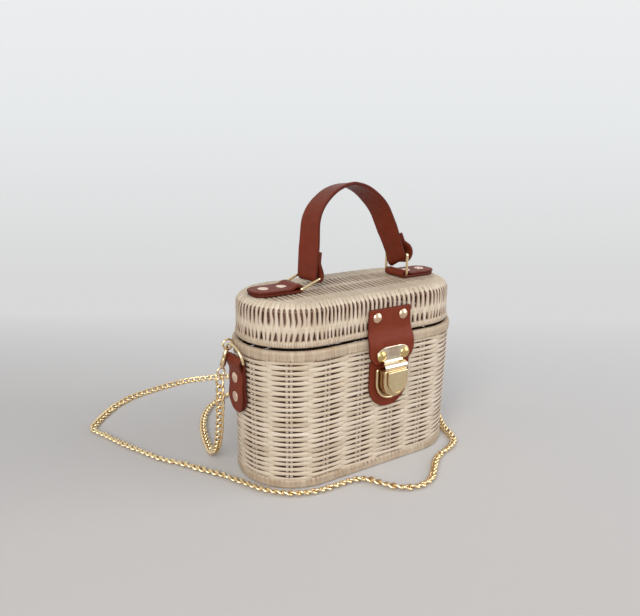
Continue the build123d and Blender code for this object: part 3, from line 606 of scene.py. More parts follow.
def wrapped_band(name, body, node, section, wraps, lift, tone, slant=0.0, ticks=0):
    """A rim wrapped in split cane: a section of (radius, z) carried round, with a ridge for each turn.

    Painted shade darkens the grooves between the turns and the band's inner side, and dark gaps between the
    turns are painted at the lower edge where ticks is below 0, at the upper one above 0.
    """
    per = 5
    steps = wraps * per
    run, length = round_oval(steps)
    section = np.asarray(section, float)
    ring = np.roll(section, -1, 0) - np.roll(section, 1, 0)
    out = unit(np.stack([ring[:, 1], -ring[:, 0]], -1))
    if np.sum((section - section.mean(0)) * out) < 0:
        out = -out
    strength = np.repeat(1 + rng.normal(0, 0.35, wraps), per)
    tones = np.repeat(np.clip(tone + rng.normal(0, 0.1, wraps), 0, 1), per)
    gaps = np.repeat(np.clip(rng.normal(0.15, 0.5, wraps), 0, 0.95), per)
    low, high = section[:, 1].min(), section[:, 1].max()
    middle_r, middle_z = section.mean(0)
    rings = np.empty((steps, len(section), 3))
    groove = np.empty((steps, len(section)))
    for j, (radius, z) in enumerate(section):
        share = (run / AROUND * wraps + slant * (z - middle_z)) % 1
        ridge = np.sqrt(np.clip(1 - (2 * share - 1) ** 2, 0, 1))
        rise = lift * strength * (ridge - RIDGE_MEAN)
        rings[:, j] = on_oval(run, radius + rise * out[j, 0], z + rise * out[j, 1])[0]
        # Painted shade in the groove between turns, and painted dark gaps near one outer edge.
        groove[:, j] = GROOVE_LEAST + GROOVE * smoothstep(0.5, 0.0, ridge)
        if ticks and radius > middle_r:
            edge = z - low if ticks < 0 else high - z
            dark = gaps * smoothstep(*TICK_EDGE, edge) * (ridge < RIDGE_MEAN)
            groove[:, j] = np.maximum(groove[:, j], dark)
    # Painted shade on the band's inner side.
    inner = smoothstep(middle_r, section[:, 0].min(), section[:, 0])
    groove = np.maximum(groove, GROOVE_INSIDE * inner[None])
    pile = Pile().add(rings[:, ::-1], loop=True, u=length, v=0.03, tone=tones[:, None],
                      deep=groove[:, ::-1])
    pile.make(name, WICKER, body, "cane", node)


def band_section(outer_low, outer_high, low, high, thick, corner, count=4):
    """A rounded band's section: it may lean from its lower to its upper outer radius."""
    def outer(height):
        return outer_low + (outer_high - outer_low) * (height - low) / (high - low)

    points = []
    for x, z, start in ((-corner, high - corner, 0), (corner - thick, high - corner, 90),
                        (corner - thick, low + corner, 180), (-corner, low + corner, 270)):
        for i in range(count + 1):
            c, s = cos_sin(start + 90 * i / count)
            height = z + corner * s
            points.append((outer(height) + x + corner * c, height))
    heights = [low + corner + (high - low - 2 * corner) * share for share in (0.2, 0.4, 0.6, 0.8)]
    return points + [(outer(height), height) for height in heights]


# Lid

LID_IN, LID_ROD, LID_ROUND, LID_CLOSED, LID_SLIT, TOP_SLIT = 2.8, 0.7, 0.8, 0.55, 0.6, 0.7
LID_MID = LID_ROD + 0.15
LID_LOW, LID_RODS, TOP_LEAN = 116.0, 236, 0.18
LID_FLAT = LID_R - LID_SHOULDER
LEAN = ([116, 127, 134, 141], [-0.9, 0, 0.5, 0])
RIB_Y, RIM_AT, HOOP_AT, TOP_BEGIN, SIDE_BEGIN = 12.3, 2.4, 26.3, 0.5, 0.2


def lid_profile():
    """Radius-height points and outward normals from the lid's lower edge to the flat top's edge."""
    bend = LID_SHOULDER - LID_MID
    z = np.linspace(LID_LOW, LID_SIDE_Z, 16, endpoint=False)
    side = np.stack([np.full_like(z, LID_R - LID_MID), z], -1)
    turn = np.linspace(0, np.pi / 2, 8)
    out = np.stack([np.cos(turn), np.sin(turn)], -1)
    curve = np.array([LID_FLAT, LID_SIDE_Z]) + bend * out
    return np.concatenate([side, curve]), np.concatenate([np.tile([1.0, 0.0], (len(z), 1)), out])


def lid_weave():
    """Rods over the top from front to back and down the sides, in and out of the hoop and the ribs."""
    pile = Pile()
    line, out = lid_profile()
    middle = (LID_SIDE_Z - LID_LOW) + (LID_SHOULDER - LID_MID) * np.pi / 2 + LID_FLAT
    across = 2 * middle
    stops = [(RIM_AT, 1, 3, 8.8, LID_SLIT, SIDE_BEGIN), (HOOP_AT, -1, 15.0, 1.6, LID_SLIT, SIDE_BEGIN),
             (middle - RIB_Y, 1, 12, 12, TOP_SLIT, TOP_BEGIN)]
    stops += [(across - spot, -sign, after, before, *rest)
              for spot, sign, before, after, *rest in stops[::-1]]

    def rod(points, normals, travel, odd, spread=1.0):
        sunk, wide, slit = weave(travel, stops, odd, LID_CLOSED)
        points = points - normals * (LID_IN * sunk + rng.uniform(0, 0.2))[:, None]
        wide = wide * spread * (1 + rng.normal(0, 0.04))
        # Painted shade on each rod; on the top the rods are a little darker in tone, and their painted
        # shade is weaker.
        top = smoothstep(141, 146, points[:, 2:])
        pile.add(tube(points, normals, LID_ROD, wide, ROD_SIDES, False, LID_ROUND), caps=True,
                 u=travel * MM + rng.uniform(0, 2), v=0.006,
                 tone=np.clip(0.62 + rng.normal(0, 0.1) - 0.06 * top, 0, 1),
                 deep=rod_depth(sunk, slit, 0.35, 0.3, (0.12, 0.5)) * (1 - 0.3 * top))

    # Rods of the straight part, from front to back
    straight = int(round(2 * STRAIGHT / (AROUND / LID_RODS)))
    top_y = np.linspace(-LID_FLAT, LID_FLAT, 38)[1:-1]
    radius = np.concatenate([-line[:, 0], top_y, line[::-1, 0]])
    z = np.concatenate([line[:, 1], np.full(len(top_y), LID_TOP - LID_MID), line[::-1, 1]])
    slant = TOP_LEAN * np.clip(radius, -LID_FLAT, LID_FLAT)
    normals = np.concatenate([out * [-1, 1], np.tile([0.0, 1.0], (len(top_y), 1)), out[::-1]])
    normals = np.stack([np.zeros(len(z)), *normals.T], -1)
    for i in range(straight + 1):
        x = -STRAIGHT + 2 * STRAIGHT * i / straight
        lean = rng.normal(0, 0.4) + 0.6 * rng.normal(0, 1) * (i < 5)
        drift = x + lean * np.interp(z, *LEAN) + slant * (1 - (x / STRAIGHT) ** 2)
        points = np.stack([drift, radius, z], -1)
        travel = travelled(points)
        rod(points, normals, travel * across / travel[-1], i % 2, 1 - 2 * slant * x / STRAIGHT**2)

    # Rods round the ends, and those over the flat half rounds of the top
    ends = LID_RODS // 2 - straight
    step = 2 * STRAIGHT / straight
    tail = np.linspace(LID_FLAT, LID_FLAT - 4, 4)[1:]
    inward = np.concatenate([line, np.stack([tail, np.full(3, LID_TOP - LID_MID - 0.2)], -1)])
    tilt = np.concatenate([out, np.tile([0.0, 1.0], (3, 1))])
    for side, _ in SIDES:
        first, wild = (0, 1.6) if side < 0 else (straight, 0.9)
        slants = np.convolve(rng.normal(0, 1, ends + 8), np.ones(4) / 2.4, "same")
        for i in range(1, ends):
            turn = np.pi * i / ends + wild * slants[i] * np.interp(inward[:, 1], *LEAN) / 45.0
            dx, dy = np.sin(turn) * side, -np.cos(turn)
            points = np.stack([side * STRAIGHT + inward[:, 0] * dx, inward[:, 0] * dy, inward[:, 1]], -1)
            normals = np.stack([tilt[:, 0] * dx, tilt[:, 0] * dy, tilt[:, 1]], -1)
            rod(points, normals, travelled(inward), (i + first) % 2)
        for i in range(1, int(LID_FLAT / step) + 1):
            half = math.sqrt(max(LID_FLAT**2 - (i * step) ** 2, 1)) + 0.8
            y = np.linspace(-half, half, 26)
            dip = 1.4 * smoothstep(half - 3, half, np.abs(y))
            points = np.stack([np.full(26, side * (STRAIGHT + i * step)), y, LID_TOP - LID_MID - dip], -1)
            rod(points, np.array([0.0, 0.0, 1.0]), middle + y, (i + first) % 2)
    pile.make("lid_rods", WICKER, "lid", "wicker", "lid_weave")


def lid_frame():
    """The hoop in the lid's shoulder and the pairs of ribs under its top."""
    pile = Pile()
    run, length = round_oval(160)
    bend = LID_SHOULDER - 2 * LID_ROD - 1.3
    for c, s in map(cos_sin, (20, 45, 70)):
        points, normals = on_oval(run, LID_FLAT + bend * c, LID_SIDE_Z + bend * s)
        rings = tube(points, normals, 1.1, 1.1, closed=True)
        # Painted shade: the hoop's rods are painted mostly brown.
        pile.add(rings, loop=True, u=length, v=0.007, tone=0.6, deep=0.8)
    pile.make("lid_hoop_rods", WICKER, "lid", "cane", "lid_hoop")
    x = np.linspace(-84, 84, 40)
    rings = tube(np.stack([x, np.zeros(40), np.zeros(40)], -1), (0, 0, 1), 0.95, 0.95)
    # Painted shade: the ribs are painted mostly brown.
    rod = Pile().add(rings, caps=True, u=x * MM, v=0.006, tone=0.55, deep=0.85)
    spots = [(0, y, LID_TOP - 2 * LID_ROD - 1.2) for y in (-14.0, -10.6, 10.6, 14.0)]
    ribs = copies("lid_rib_rods", rod.shape("rib", WICKER), spots, np.zeros((4, 3)))
    place(ribs, "lid", "cane", "lid_ribs")


# Leather

EDGE_STEPS, EDGE_ROUND = [0.0, 0.12, 0.35, 0.7, 1.2], 0.9
LEATHER_THICK, STRAP_THICK, PATCH_THICK, HASP_THICK = 1.95, 2.5, 1.75, 1.1


def leather_line(path, spacing):
    """Points evenly along a path, and more close to both ends for a rounded end edge."""
    line = resample(path, spacing)
    gone = travelled(line)
    both = [EDGE_STEPS, gone[-1] - np.array(EDGE_STEPS)]
    return at_distances(line, np.unique(np.concatenate([gone, *both])))


def leather_strip(line, across, half_width, thick, bulge=None):
    """A strip's rings of points and how near they are to its edge, from its middle line and its sizes."""
    across = np.broadcast_to(np.asarray(across, float), line.shape)
    normal = unit(np.cross(across, tangents(line)))
    gone = travelled(line)
    half = np.broadcast_to(half_width, len(line))
    ends = np.minimum(gone, gone[-1] - gone)
    rims = [np.maximum(half - step, half * 0.2) for step in EDGE_STEPS]
    columns = [-w for w in rims] + [half * share for share in np.linspace(-1, 1, 13)[2:-2]] + rims[::-1]
    front, back, edges = [], [], []
    for w in columns:
        from_edge = np.minimum(half - np.abs(w), ends)
        lift = thick / 2 * quarter(from_edge / EDGE_ROUND)
        base = line + across * w[:, None]
        if bulge is not None:
            base = base + normal * bulge(gone, w)[:, None]
        front.append(base + normal * lift[:, None])
        back.append(base - normal * lift[:, None])
        edges.append(1 - smoothstep(0.0, EDGE_ROUND, from_edge))
    return np.stack(front + back[::-1], 1), np.stack(edges + edges[::-1], 1)


def before_lid(*spots):
    """Points in the clasp's middle plane, at (distance before the middle, height)."""
    return [(CLASP_X, -y, z) for y, z in spots]


def put_leather(name, body, node, rings, edge):
    """A leather piece without sharp edges."""
    Pile().add(rings, caps=True, edge=edge).make(name, LEATHER, body, "leather", node, 180, True)


def round_end(line, half, corner, last=True):
    """Half width with rounded corners at the first end of a strip and, if asked, at the last one."""
    gone = travelled(line)
    width = np.full_like(gone, half)
    for left in (gone, gone[-1] - gone) if last else (gone,):
        width = np.minimum(width, half - corner + corner * quarter(left / corner))
    return np.maximum(width, 0.4)


PIVOT, PIVOT_Z, RING_REACH, LOOP_REACH, LEFT_LEAN = 52.5, 150.3, 18.0, 3.4, 22
LEFT_BAR = np.array([-PIVOT, PIVOT_Z]) + RING_REACH * np.array(cos_sin(LEFT_LEAN))
RIGHT_BAR = np.array([PIVOT, PIVOT_Z + RING_REACH])
TAB_FOLD = 2.25


def strap_line():
    """The handle's middle line: left loop, leg, arch and right loop."""
    def loop(bar, heading, reach):
        along = np.array(cos_sin(heading))
        across = np.array([-along[1], along[0]])
        foot = bar + across * reach
        turn = np.radians(np.linspace(heading + 90, heading + 270, 15))
        bend = bar + reach * np.stack([np.cos(turn), np.sin(turn)], -1)
        back = [bar + along * up - across * (out - reach) for up, out in
                ((3.5, 2 * reach - 0.5), (7.5, reach + 0.9), (11, 2.75), (14, 2.6), (20, 2.6))]
        return foot, foot + along * 20, bend, back

    foot, head, bend, back = loop(LEFT_BAR, 90, LOOP_REACH)
    top = foot + np.array([0, 39])
    left = [*back[::-1], *bend[::-1], head, top]
    shoulder = arc_xz(top + np.array([30, 0]), 30, 180, 110, 16)[:, [0, 2]]
    crown = arc_xz(shoulder[-1] - 40 * np.array(cos_sin(110)), 40, 110, 28, 20)[:, [0, 2]]
    foot, head, bend, back = loop(RIGHT_BAR, 118, LOOP_REACH + 0.7)
    line = np.array([*left, *shoulder[1:], *crown[1:], head, *bend, *back])
    return np.stack([line[:, 0], np.zeros(len(line)), line[:, 1]], -1)


def strap_stitches(rings, line):
    """A row of stitches across each loop, on both faces."""
    spots, turns = [], []
    half = rings.shape[1] // 2
    for level, leg in ((176.5, line[:, 0] < 0), (184.5, line[:, 0] > 0)):
        station = np.argmin(np.where(leg, np.abs(line[:, 2] - level), 99))
        for face in (rings[station, :half], rings[station, half:]):
            row = resample(face[[4, -5]], 3.6)
            out = face[half // 2] - rings[station].mean(0)
            along = row[-1] - row[0]
            out = out - along * (out @ along) / (along @ along)
            spots += list(row[:-1] + (row[1] - row[0]) / 2)
            turns += [turned(along, out)] * (len(row) - 1)
    thread = np.array([(-1.35, 0, -0.1), (-0.5, 0, 0.15), (0.5, 0, 0.15), (1.35, 0, -0.1)])
    stitch = Pile().add(tube(thread, (0, 0, 1), 0.35, 0.4, 6), caps=True, edge=1.0).shape("stitch", LEATHER)
    place(copies("handle_stitches", stitch, spots, turns), "strap", "leather")


def handle():
    """The strap, with its slight twist and sag, and stitches at both loops.

    The tables go by the share of the strap's length, and a loop's folded end moves as the leg beside it.
    """
    half = 12.0
    line = leather_line(strap_line(), 1.6)
    gone = travelled(line)
    share = gone / gone[-1]
    legs = (line[:, 0] < 0, line[:, 0] > 0)
    first, last = (share[np.argmin(np.where(leg, line[:, 2], 999))] for leg in legs)
    folded = (share < first) | (share > last)
    share = np.where(share < first, 2 * first - share, np.where(share > last, 2 * last - share, share))
    roll = np.radians(np.interp(share, [0.1, 0.14, 0.22, 0.34, 0.44, 0.52, 0.62, 0.74, 0.84, 0.9],
                                [2, 4, 7, 3, 2, 2, -6, -17, -12, -9])) * np.where(folded, -1, 1)
    side = np.tile([0.0, 1.0, 0.0], (len(line), 1))
    up = np.cross(tangents(line), side)
    across = side * np.cos(roll)[:, None] + up * np.sin(roll)[:, None]
    rings, edge = leather_strip(line, across, half, STRAP_THICK, lambda s, w: 0.25 * np.cos(w / half * 1.5))
    back = (rings[..., 1] + half) / (2 * half)
    sag = np.interp(share, [0.22, 0.32, 0.4, 0.48, 0.56, 0.66, 0.76, 0.84],
                    [0, 1.5, 3.0, 4.0, 5.0, 6.0, 7.6, 9.0])
    rings = rings + (sag[:, None] * back)[..., None] * np.array([0.469, 0, -0.883])
    reach = np.interp(share, [0.12, 0.24, 0.38, 0.5, 0.62, 0.78, 0.88], [0.0, 2.2, 3.2, 3.2, 2.0, 2.0, 0.0])
    pull = np.interp(share, [0.62, 0.76, 0.82, 0.89], [0.0, 3.0, 3.0, 0.8])
    rings[..., 0] += reach[:, None] + pull[:, None] * back
    rings[..., 2] += np.interp(share, [0.4, 0.5, 0.6], [0.0, 2.5, 0.0])[:, None]
    put_leather("handle_strap_leather", "strap", "handle_strap", rings, edge)
    strap_stitches(rings, line)


def put_tabs(kind, body, line, width, bulge=None):
    """A folded tab on the left, and its mirror image on the right."""
    rings, edge = leather_strip(line, (0, 1, 0), width, LEATHER_THICK, bulge)
    for side, name in SIDES:
        put_leather(f"{kind}_leather_{name}", body, f"{kind}_{name}", rings * np.array([-side, 1, 1]), edge)


def handle_tabs():
    """The folded tabs that hold the handle's rings."""
    low = 148.15
    fold = arc_xz((-PIVOT, PIVOT_Z), TAB_FOLD, -90, 90, 13)
    line = leather_line([
        (-89.5, 0, low), (-PIVOT, 0, low), *fold[1:], (-PIVOT - 2.6, 0, 152.5), (-PIVOT - 6.2, 0, 150.75),
        (-PIVOT - 9, 0, 150.3), (-90.2, 0, 150.25)], 1.3)
    put_tabs("handle_tab", "lid", line, round_end(line, 12.0, 10.5))


D_BAR, D_BAR_Z, D_LEAN = 102.833, 99.0, 12


def side_tabs():
    """The folded tabs that hold the D rings at the ends."""
    half, back, front = 11.5, -100.633, -102.733
    fold = arc_xz((-D_BAR, D_BAR_Z), TAB_FOLD, 0, 180, 15)
    line = leather_line([
        (back + 0.55, 0, 57.4), (back + 0.1, 0, 80), (back, 0, 97), *fold, (-D_BAR - 2.05, 0, 96.5),
        (front - 0.6, 0, 92.0), (front, 0, 89.2), (front, 0, 80), (front + 0.5, 0, 56.8)], 1.4)
    width = round_end(line, half, 10.8) * (1 - 0.04 * np.cos(line[:, 2] / 15.5 * 2 * np.pi))
    put_tabs("side_tab", "basket", line, width,
             lambda s, w: -0.5 * np.sin(s / 7.5) * (w / half) ** 2 * (s > 55))


def clasp_leather():
    """The flap that hangs from the lid over the rim, and the patch behind the lock."""
    line = leather_line(before_lid(
        (46.8, 135.8), (46.8, 126), (46.85, 121), (47.3, 117.5), (48.6, 113.5), (50.2, 110),
        (50.85, 106.5), (50.9, 102), (50.9, 91.8)), 1.2)
    z = line[:, 2]
    width = np.interp(z, [91.8, 94.0, 97.5, 101, 112, 122, 135.8],
                      [15.2, 18.6, 21.2, 22.6, 22.4, 21.2, 20.8])
    width = np.minimum(width, round_end(line, 21.0, 2.6, False) + np.interp(z, [120, 135], [4, 0]))
    put_leather("clasp_flap_leather", "lid", "clasp_flap",
                *leather_strip(line, (1, 0, 0), width, LEATHER_THICK))
    low, half = 54.1, 20
    line = leather_line(before_lid((48.35, 94.5), (48.0, 75), (47.85, low)), 1.3)
    width = np.maximum(half * quarter((line[:, 2] - low) / half), 0.4)
    put_leather("lock_patch_leather", "basket", "lock_backing",
                *leather_strip(line, (1, 0, 0), width, PATCH_THICK))


# Metal

SHARP = 40


def dome(radius, height, foot, up=1):
    """A domed rivet head with a rolled edge, on its foot and facing up or down."""
    ball = (radius**2 + height**2) / (2 * height)
    profile = [(radius * 0.93, -0.15), (radius * 0.99, 0.12), (radius, 0.3)]
    for t in np.linspace(1, 0.03, 11):
        r = radius * t * 0.985
        profile.append((r, 0.35 + math.sqrt(max(ball**2 - r**2, 0)) - (ball - height) - 0.2 * (1 - t)))
    turns = np.arange(28) / 28 * 2 * np.pi
    return np.array([[(r * math.cos(t), up * r * math.sin(t), foot + up * h) for t in turns]
                     for r, h in profile])


def rivets(name, material, body, slot, node, spots, axes, radius, reach, height=2.0):
    """Domed heads, each with a plain set cap at its far end."""
    pile = Pile().add(dome(radius, height, 0.0), caps=True).add(dome(3.0, 0.7, -reach, -1), caps=True)
    turns = [Vector(axis).to_track_quat("Z", "Y").to_euler() for axis in axes]
    place(copies(name, pile.shape("rivet", material), spots, turns), body, slot, node)


def all_rivets():
    front, up, flat = [(0, -1, 0)] * 2, [(0, 0, 1)] * 4, 0.8
    spots = [(CLASP_X + s * 12.8, -47.75, 128.8) for s, _ in SIDES]
    rivets("flap_rivet_heads", ROSE_PAINTED_DARK, "lid", "rivet_metal", "flap_rivets", spots, front, 4.3, 6.0)
    spots = [(CLASP_X + s * 11.5, -53.1, 98.8) for s, _ in SIDES]
    rivets("hasp_rivet_heads", GOLD_PAINTED_DARK, "lid", "gold_metal", "hasp_rivets", spots, front, 4.5, 3.2)
    spots = [(s * x, 0, 151.2) for s, _ in SIDES for x in (62.5, 78.5)]
    rivets("handle_rivet_heads", ROSE, "lid", "rivet_metal", "handle_rivets", spots, up, 4.2, 8.1, flat)
    spots = [(s * 103.7, 0, z) for s, _ in SIDES for z in (85.0, 69.5)]
    rivets("side_rivet_heads", ROSE, "basket", "rivet_metal", "side_rivets", spots,
           [(p[0], 0, 0) for p in spots], 4.2, 9.0, flat)


# Outlines of the lock, from the back to the front: depth, width, height, drop of the top, shade (painted
# shade and painted reflection)
LOCK_TOP, LOCK_FACE, PAD_FACE = 87.6, 49.24, 57.94
FLANGE = [(0, 29.4, 25.7, 0, 0.8), (0.3, 30, 26, 0, 0.8), (0.9, 30, 26, 0, 0.8), (1.3, 29.4, 25.7, 0, 0.8)]
CASE = [(1.0, 24.4, 23.2, 0, 0.8), (3.0, 23.4, 22.8, 0, 0.6), (6.4, 22.6, 22.4, 0, 0.35),
        (7.4, 22.5, 22.3, 0, 0.1), (8.1, 22.0, 22.0, 0.1, 0), (8.5, 21.3, 21.6, 0.3, 0),
        (8.7, 20.4, 21.1, 0.6, 0.3)]
PAD = [(0.3, 18.4, 17.7, 0.5, 0.6), (0.6, 19, 18, 0.3, 0.4), (2.0, 19, 18, 0.3, 0.1),
       (2.5, 18.5, 17.75, 0.5, 0), (2.7, 17.8, 17.4, 0.8, 0), (2.65, 16.9, 16.9, 1.3, 0.25),
       (2.35, 16.3, 16.6, 1.6, 0.05), (2.35, 15.0, 15.9, 2.3, 0)]


def u_ring(width, height, top, depth):
    """Outline of a plate with a flat top and a round bottom, from its middle top leftwards round."""
    half, low, corner = width / 2, top - height + width / 2, 1.0
    left = [(-half * 0.5, top)]
    for c, s in map(cos_sin, np.linspace(0, 90, 4)):
        left.append((-half + corner - corner * s, top - corner + corner * c))
    left += [(-half, z) for z in np.linspace(top - corner, low, 6)[1:-1]]
    bottom = [(half * c, low + half * s) for c, s in map(cos_sin, np.linspace(180, 360, 25))]
    outline = [(0.0, top), *left, *bottom, *((-x, z) for x, z in reversed(left))]
    return np.array([(x + CLASP_X, -depth, z) for x, z in outline])


def u_loft(pile, face, sections):
    """A plate through U outlines in front of a face."""
    rings = [u_ring(width, height, LOCK_TOP - drop, face + depth)
             for depth, width, height, drop, _ in sections]
    return pile.add(np.array(rings), caps=True, shade=np.array(sections)[:, 4:])


def lock():
    """The press lock: flange with a rolled rim, flared case, and the thumb pad."""
    pile = u_loft(Pile(), LOCK_FACE, FLANGE)
    wire(pile, u_ring(27.8, 24.9, LOCK_TOP - 0.2, LOCK_FACE + 1.6)[3:-3], 1.1, (0, -1, 0))
    u_loft(pile, LOCK_FACE, CASE)
    for side, _ in SIDES:
        x, z = CLASP_X + side * 11, 75.6
        wire(pile, [(x, -LOCK_FACE - 0.2, z), (x, -39.4, z)], 1.0, (0, 0, 1))
    pile.make("lock_body", GOLD, "basket", "gold_metal", "lock_case", SHARP)
    pile = u_loft(Pile(), PAD_FACE, PAD)
    wire(pile, [(CLASP_X, -PAD_FACE - 1, 76.2), (CLASP_X, -PAD_FACE + 3.5, 76.2)], 2.4, (0, 0, 1))
    pile.make("lock_thumb_pad", GOLD, "thumb_catch", "gold_metal", "lock_thumb_catch", SHARP)


def lock_coil():
    """The coil spring under the catch, which the catch presses together."""
    thin, turns, steps = 0.25, 5, 101
    low, high = (np.array(corner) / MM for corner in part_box("lock_spring"))
    middle, radius = (low + high) / 2, (high[0] - low[0]) / 2 - thin
    turn = np.linspace(0, turns * 2 * np.pi, steps)
    outward = np.stack([np.cos(turn), np.sin(turn), np.zeros(steps)], -1)
    points = np.stack([middle[0] + radius * np.cos(turn), middle[1] + radius * np.sin(turn),
                       np.linspace(low[2] + thin, high[2] - thin, steps)], -1)
    pile = Pile().add(tube(points, outward, thin, thin), caps=True)
    piece = pile.make("lock_coil", STEEL, "basket", "spring_steel", "lock_spring", SHARP)
    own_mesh(piece)


def hasp():
    """The plate on the flap: ears round its rivets, a waist, and a rolled lip over the lock."""
    line = leather_line(before_lid(
        (52.5, 105.9), (52.6, 103), (52.9, 100), (52.9, 97.5), (52.7, 95.6), (53.0, 94.2), (54.2, 92.9),
        (55.9, 92.3), (57.3, 91.6), (57.95, 90.3), (58.0, 89.0), (57.5, 88.2), (56.4, 88.15),
        (54.2, 88.2)), 0.5)
    width = np.interp(travelled(line),
                      [0, 0.15, 0.5, 1.1, 2.2, 3.6, 5.0, 7.2, 9.0, 10.4, 11.4, 12.4, 13.2, 14.0, 30],
                      [4.0, 7.0, 9.6, 11.6, 13.6, 15.2, 15.9, 16.1, 14.6, 11.6, 9.8, 9.4, 10.0, 11.2, 11.5])
    rings, _ = leather_strip(line, (1, 0, 0), width, HASP_THICK)
    # Painted reflection: the plate's middle is darker above its waist.
    middle = 1 - smoothstep(3.0, 8.5, np.abs(rings[..., 0] - CLASP_X))
    pile = Pile().add(rings, caps=True, shade=0.35 * middle * smoothstep(95, 100, rings[..., 2]))
    tongue = [(CLASP_X + x, -53.4, z) for x, z in ((-5, 88.4), (-5, 83.5), (5, 83.5), (5, 88.4))]
    wire(pile, tongue, 0.7, (0, -1, 0))
    pile.make("hasp_metal", HASP, "lid", "gold_metal", "hasp_plate", 60, True)


def rings():
    """Wire rings of the handle and D rings at the ends."""
    thin = 1.1
    flat = rounded((0, -13.7), (RING_REACH, 13.7), [1.6] * 4, 9)
    for (side, name), lean in zip(SIDES, (LEFT_LEAN, 90)):
        c, s = cos_sin(lean)
        points = np.stack([side * PIVOT + flat[:, 0] * c, flat[:, 1], PIVOT_Z + flat[:, 0] * s], -1)
        pile = wire(Pile(), points, thin, (-s, 0, c), True)
        pile.make(f"handle_wire_{name}", GOLD, f"ring_{name}", "gold_metal", f"handle_ring_{name}", 80)
    flat = rounded((-13.2, 0), (13.2, 12.5), [1.6, 1.6, 10.8, 10.8], 14)
    c, s = cos_sin(D_LEAN)
    for side, name in SIDES:
        points = np.stack([side * (D_BAR + flat[:, 1] * s), flat[:, 0], D_BAR_Z + flat[:, 1] * c], -1)
        pile = wire(Pile(), points, thin, (side * c, 0, -s), True)
        pile.make(f"d_wire_{name}", GOLD, f"d_ring_{name}", "gold_metal", f"side_ring_{name}", 80)


# Chain: down from the left hook, over the table, and up to the right hook

FALL = [(-112.8, 8.0, 84.6), (-112.4, 8.8, 71.0), (-111.7, 11.2, 57.0), (-111.0, 14.8, 43.0),
        (-110.2, 19.2, 29.5), (-109.0, 26.0, 17.0), (-107.5, 36.0, 7.0)]
TABLE_Z = 2.5
TABLE = [
    (-105.8, 48.0), (-102.0, 65.0), (-96.5, 84.0), (-89.0, 103.0), (-79.0, 121.0), (-65.0, 137.5),
    (-47.0, 149.0), (-28.0, 157.5), (-12.0, 166.0), (-3.0, 178.0), (-6.0, 192.0), (-20.0, 201.0),
    (-40.0, 207.0), (-62.0, 211.0), (-85.0, 208.5), (-106.0, 204.0), (-126.0, 198.5), (-146.0, 186.0),
    (-162.0, 169.0), (-173.0, 155.0), (-179.5, 145.5), (-178.5, 137.5), (-173.0, 126.0), (-168.0, 109.0),
    (-161.0, 91.0), (-153.0, 73.0), (-146.0, 56.0), (-135.0, 42.0), (-126.0, 26.0), (-116.0, 10.0),
    (-106.5, -9.0), (-98.5, -28.0), (-86.0, -44.5), (-68.0, -54.0), (-48.0, -56.0), (-31.0, -55.5),
    (-20.5, -60.0), (-15.5, -70.0), (-9.0, -82.0), (2.0, -90.5), (15.5, -91.5), (28.0, -85.0),
    (39.0, -74.5), (50.5, -65.0), (62.5, -60.5), (75.0, -57.0), (86.5, -50.0), (91.5, -38.5),
    (96.0, -26.0), (103.0, -14.5)]
RISE = [(108.6, -3.5, 5.0), (111.6, 3.0, 14.5), (112.6, 6.2, 27.5), (113.0, 7.2, 42.0),
        (113.3, 8.2, 57.0), (113.2, 8.5, 71.0), (112.8, 8.0, 84.6)]
ROUTE = [*FALL, *((x, y, TABLE_Z) for x, y in TABLE), *RISE]
LINK_LENGTH, LINK_WIDTH, LINK_WIRE, LINK_PITCH, LINK_TWIST, LINK_ROLL = 9.9, 7.0, 0.98, 6.2, 50.0, 26
HANG_FACE = np.array([0.83, -0.55, 0.0])

# Radius and height of a hook's neck and barrel, below its bow
NECK = np.array([(1.0, -2.9), (1.25, -4.2), (1.75, -6.0), (2.15, -8.2), (1.95, -10.2), (1.65, -11.1),
                 (1.75, -11.5), (2.25, -11.9), (2.35, -12.6), (2.35, -16.6), (2.15, -17.4), (1.5, -17.9)])
HOOK_X, HOOK_Y, HOOK_Z, HOOK_LEAN = 105.106, 8.0, 109.696, 17


def route_points():
    """Points of the chain's smooth line."""
    data = bpy.data.curves.new("chain_route", "CURVE")
    data.dimensions = "3D"
    data.resolution_u = 16
    spline = data.splines.new("NURBS")
    spline.points.add(len(ROUTE) - 1)
    for point, spot in zip(spline.points, ROUTE):
        point.co = (*(MM * x for x in spot), 1)
    spline.order_u = 3
    spline.use_endpoint_u = True
    curve = bpy.data.objects.new("chain_route", data)
    mesh = bpy.data.meshes.new_from_object(curve)
    points = np.array([v.co for v in mesh.vertices]) / MM
    bpy.data.objects.remove(curve)
    bpy.data.curves.remove(data)
    bpy.data.meshes.remove(mesh)
    return points


def hook_bodies():
    """The lobster hooks: a bent bow, a swelling neck and a barrel for the swivel."""
    made = []
    turn = np.arange(20) / 20 * 2 * np.pi
    radius, z = NECK[:, :1], NECK[:, 1:]
    neck = np.stack([radius * np.cos(turn), radius * np.sin(turn) * 0.9,
                     np.broadcast_to(z, (len(z), 20))], -1)
    bow = arc_xz((0, 0), 3.9, -118, 138, 40)
    thin = np.interp(np.arange(40), [0, 12, 39], [1.2, 1.0, 0.85])
    c, s = cos_sin(HOOK_LEAN)
    for side, name in SIDES:
        # Painted shade on the neck and barrel, by the shade value.
        pile = wire(Pile(), bow, thin, (0, 1, 0)).add(neck, caps=True, shade=0.3)
        piece = pile.make(f"hook_{name}", GOLD, "basket", "gold_metal", f"hook_body_{name}")
        piece.data.transform(Matrix(((-side * c, 0, -side * s, side * HOOK_X * MM), (0, 1, 0, HOOK_Y * MM),
                                     (-s, 0, c, HOOK_Z * MM), (0, 0, 0, 1))))
        made.append(clean(piece, SHARP))
    return made


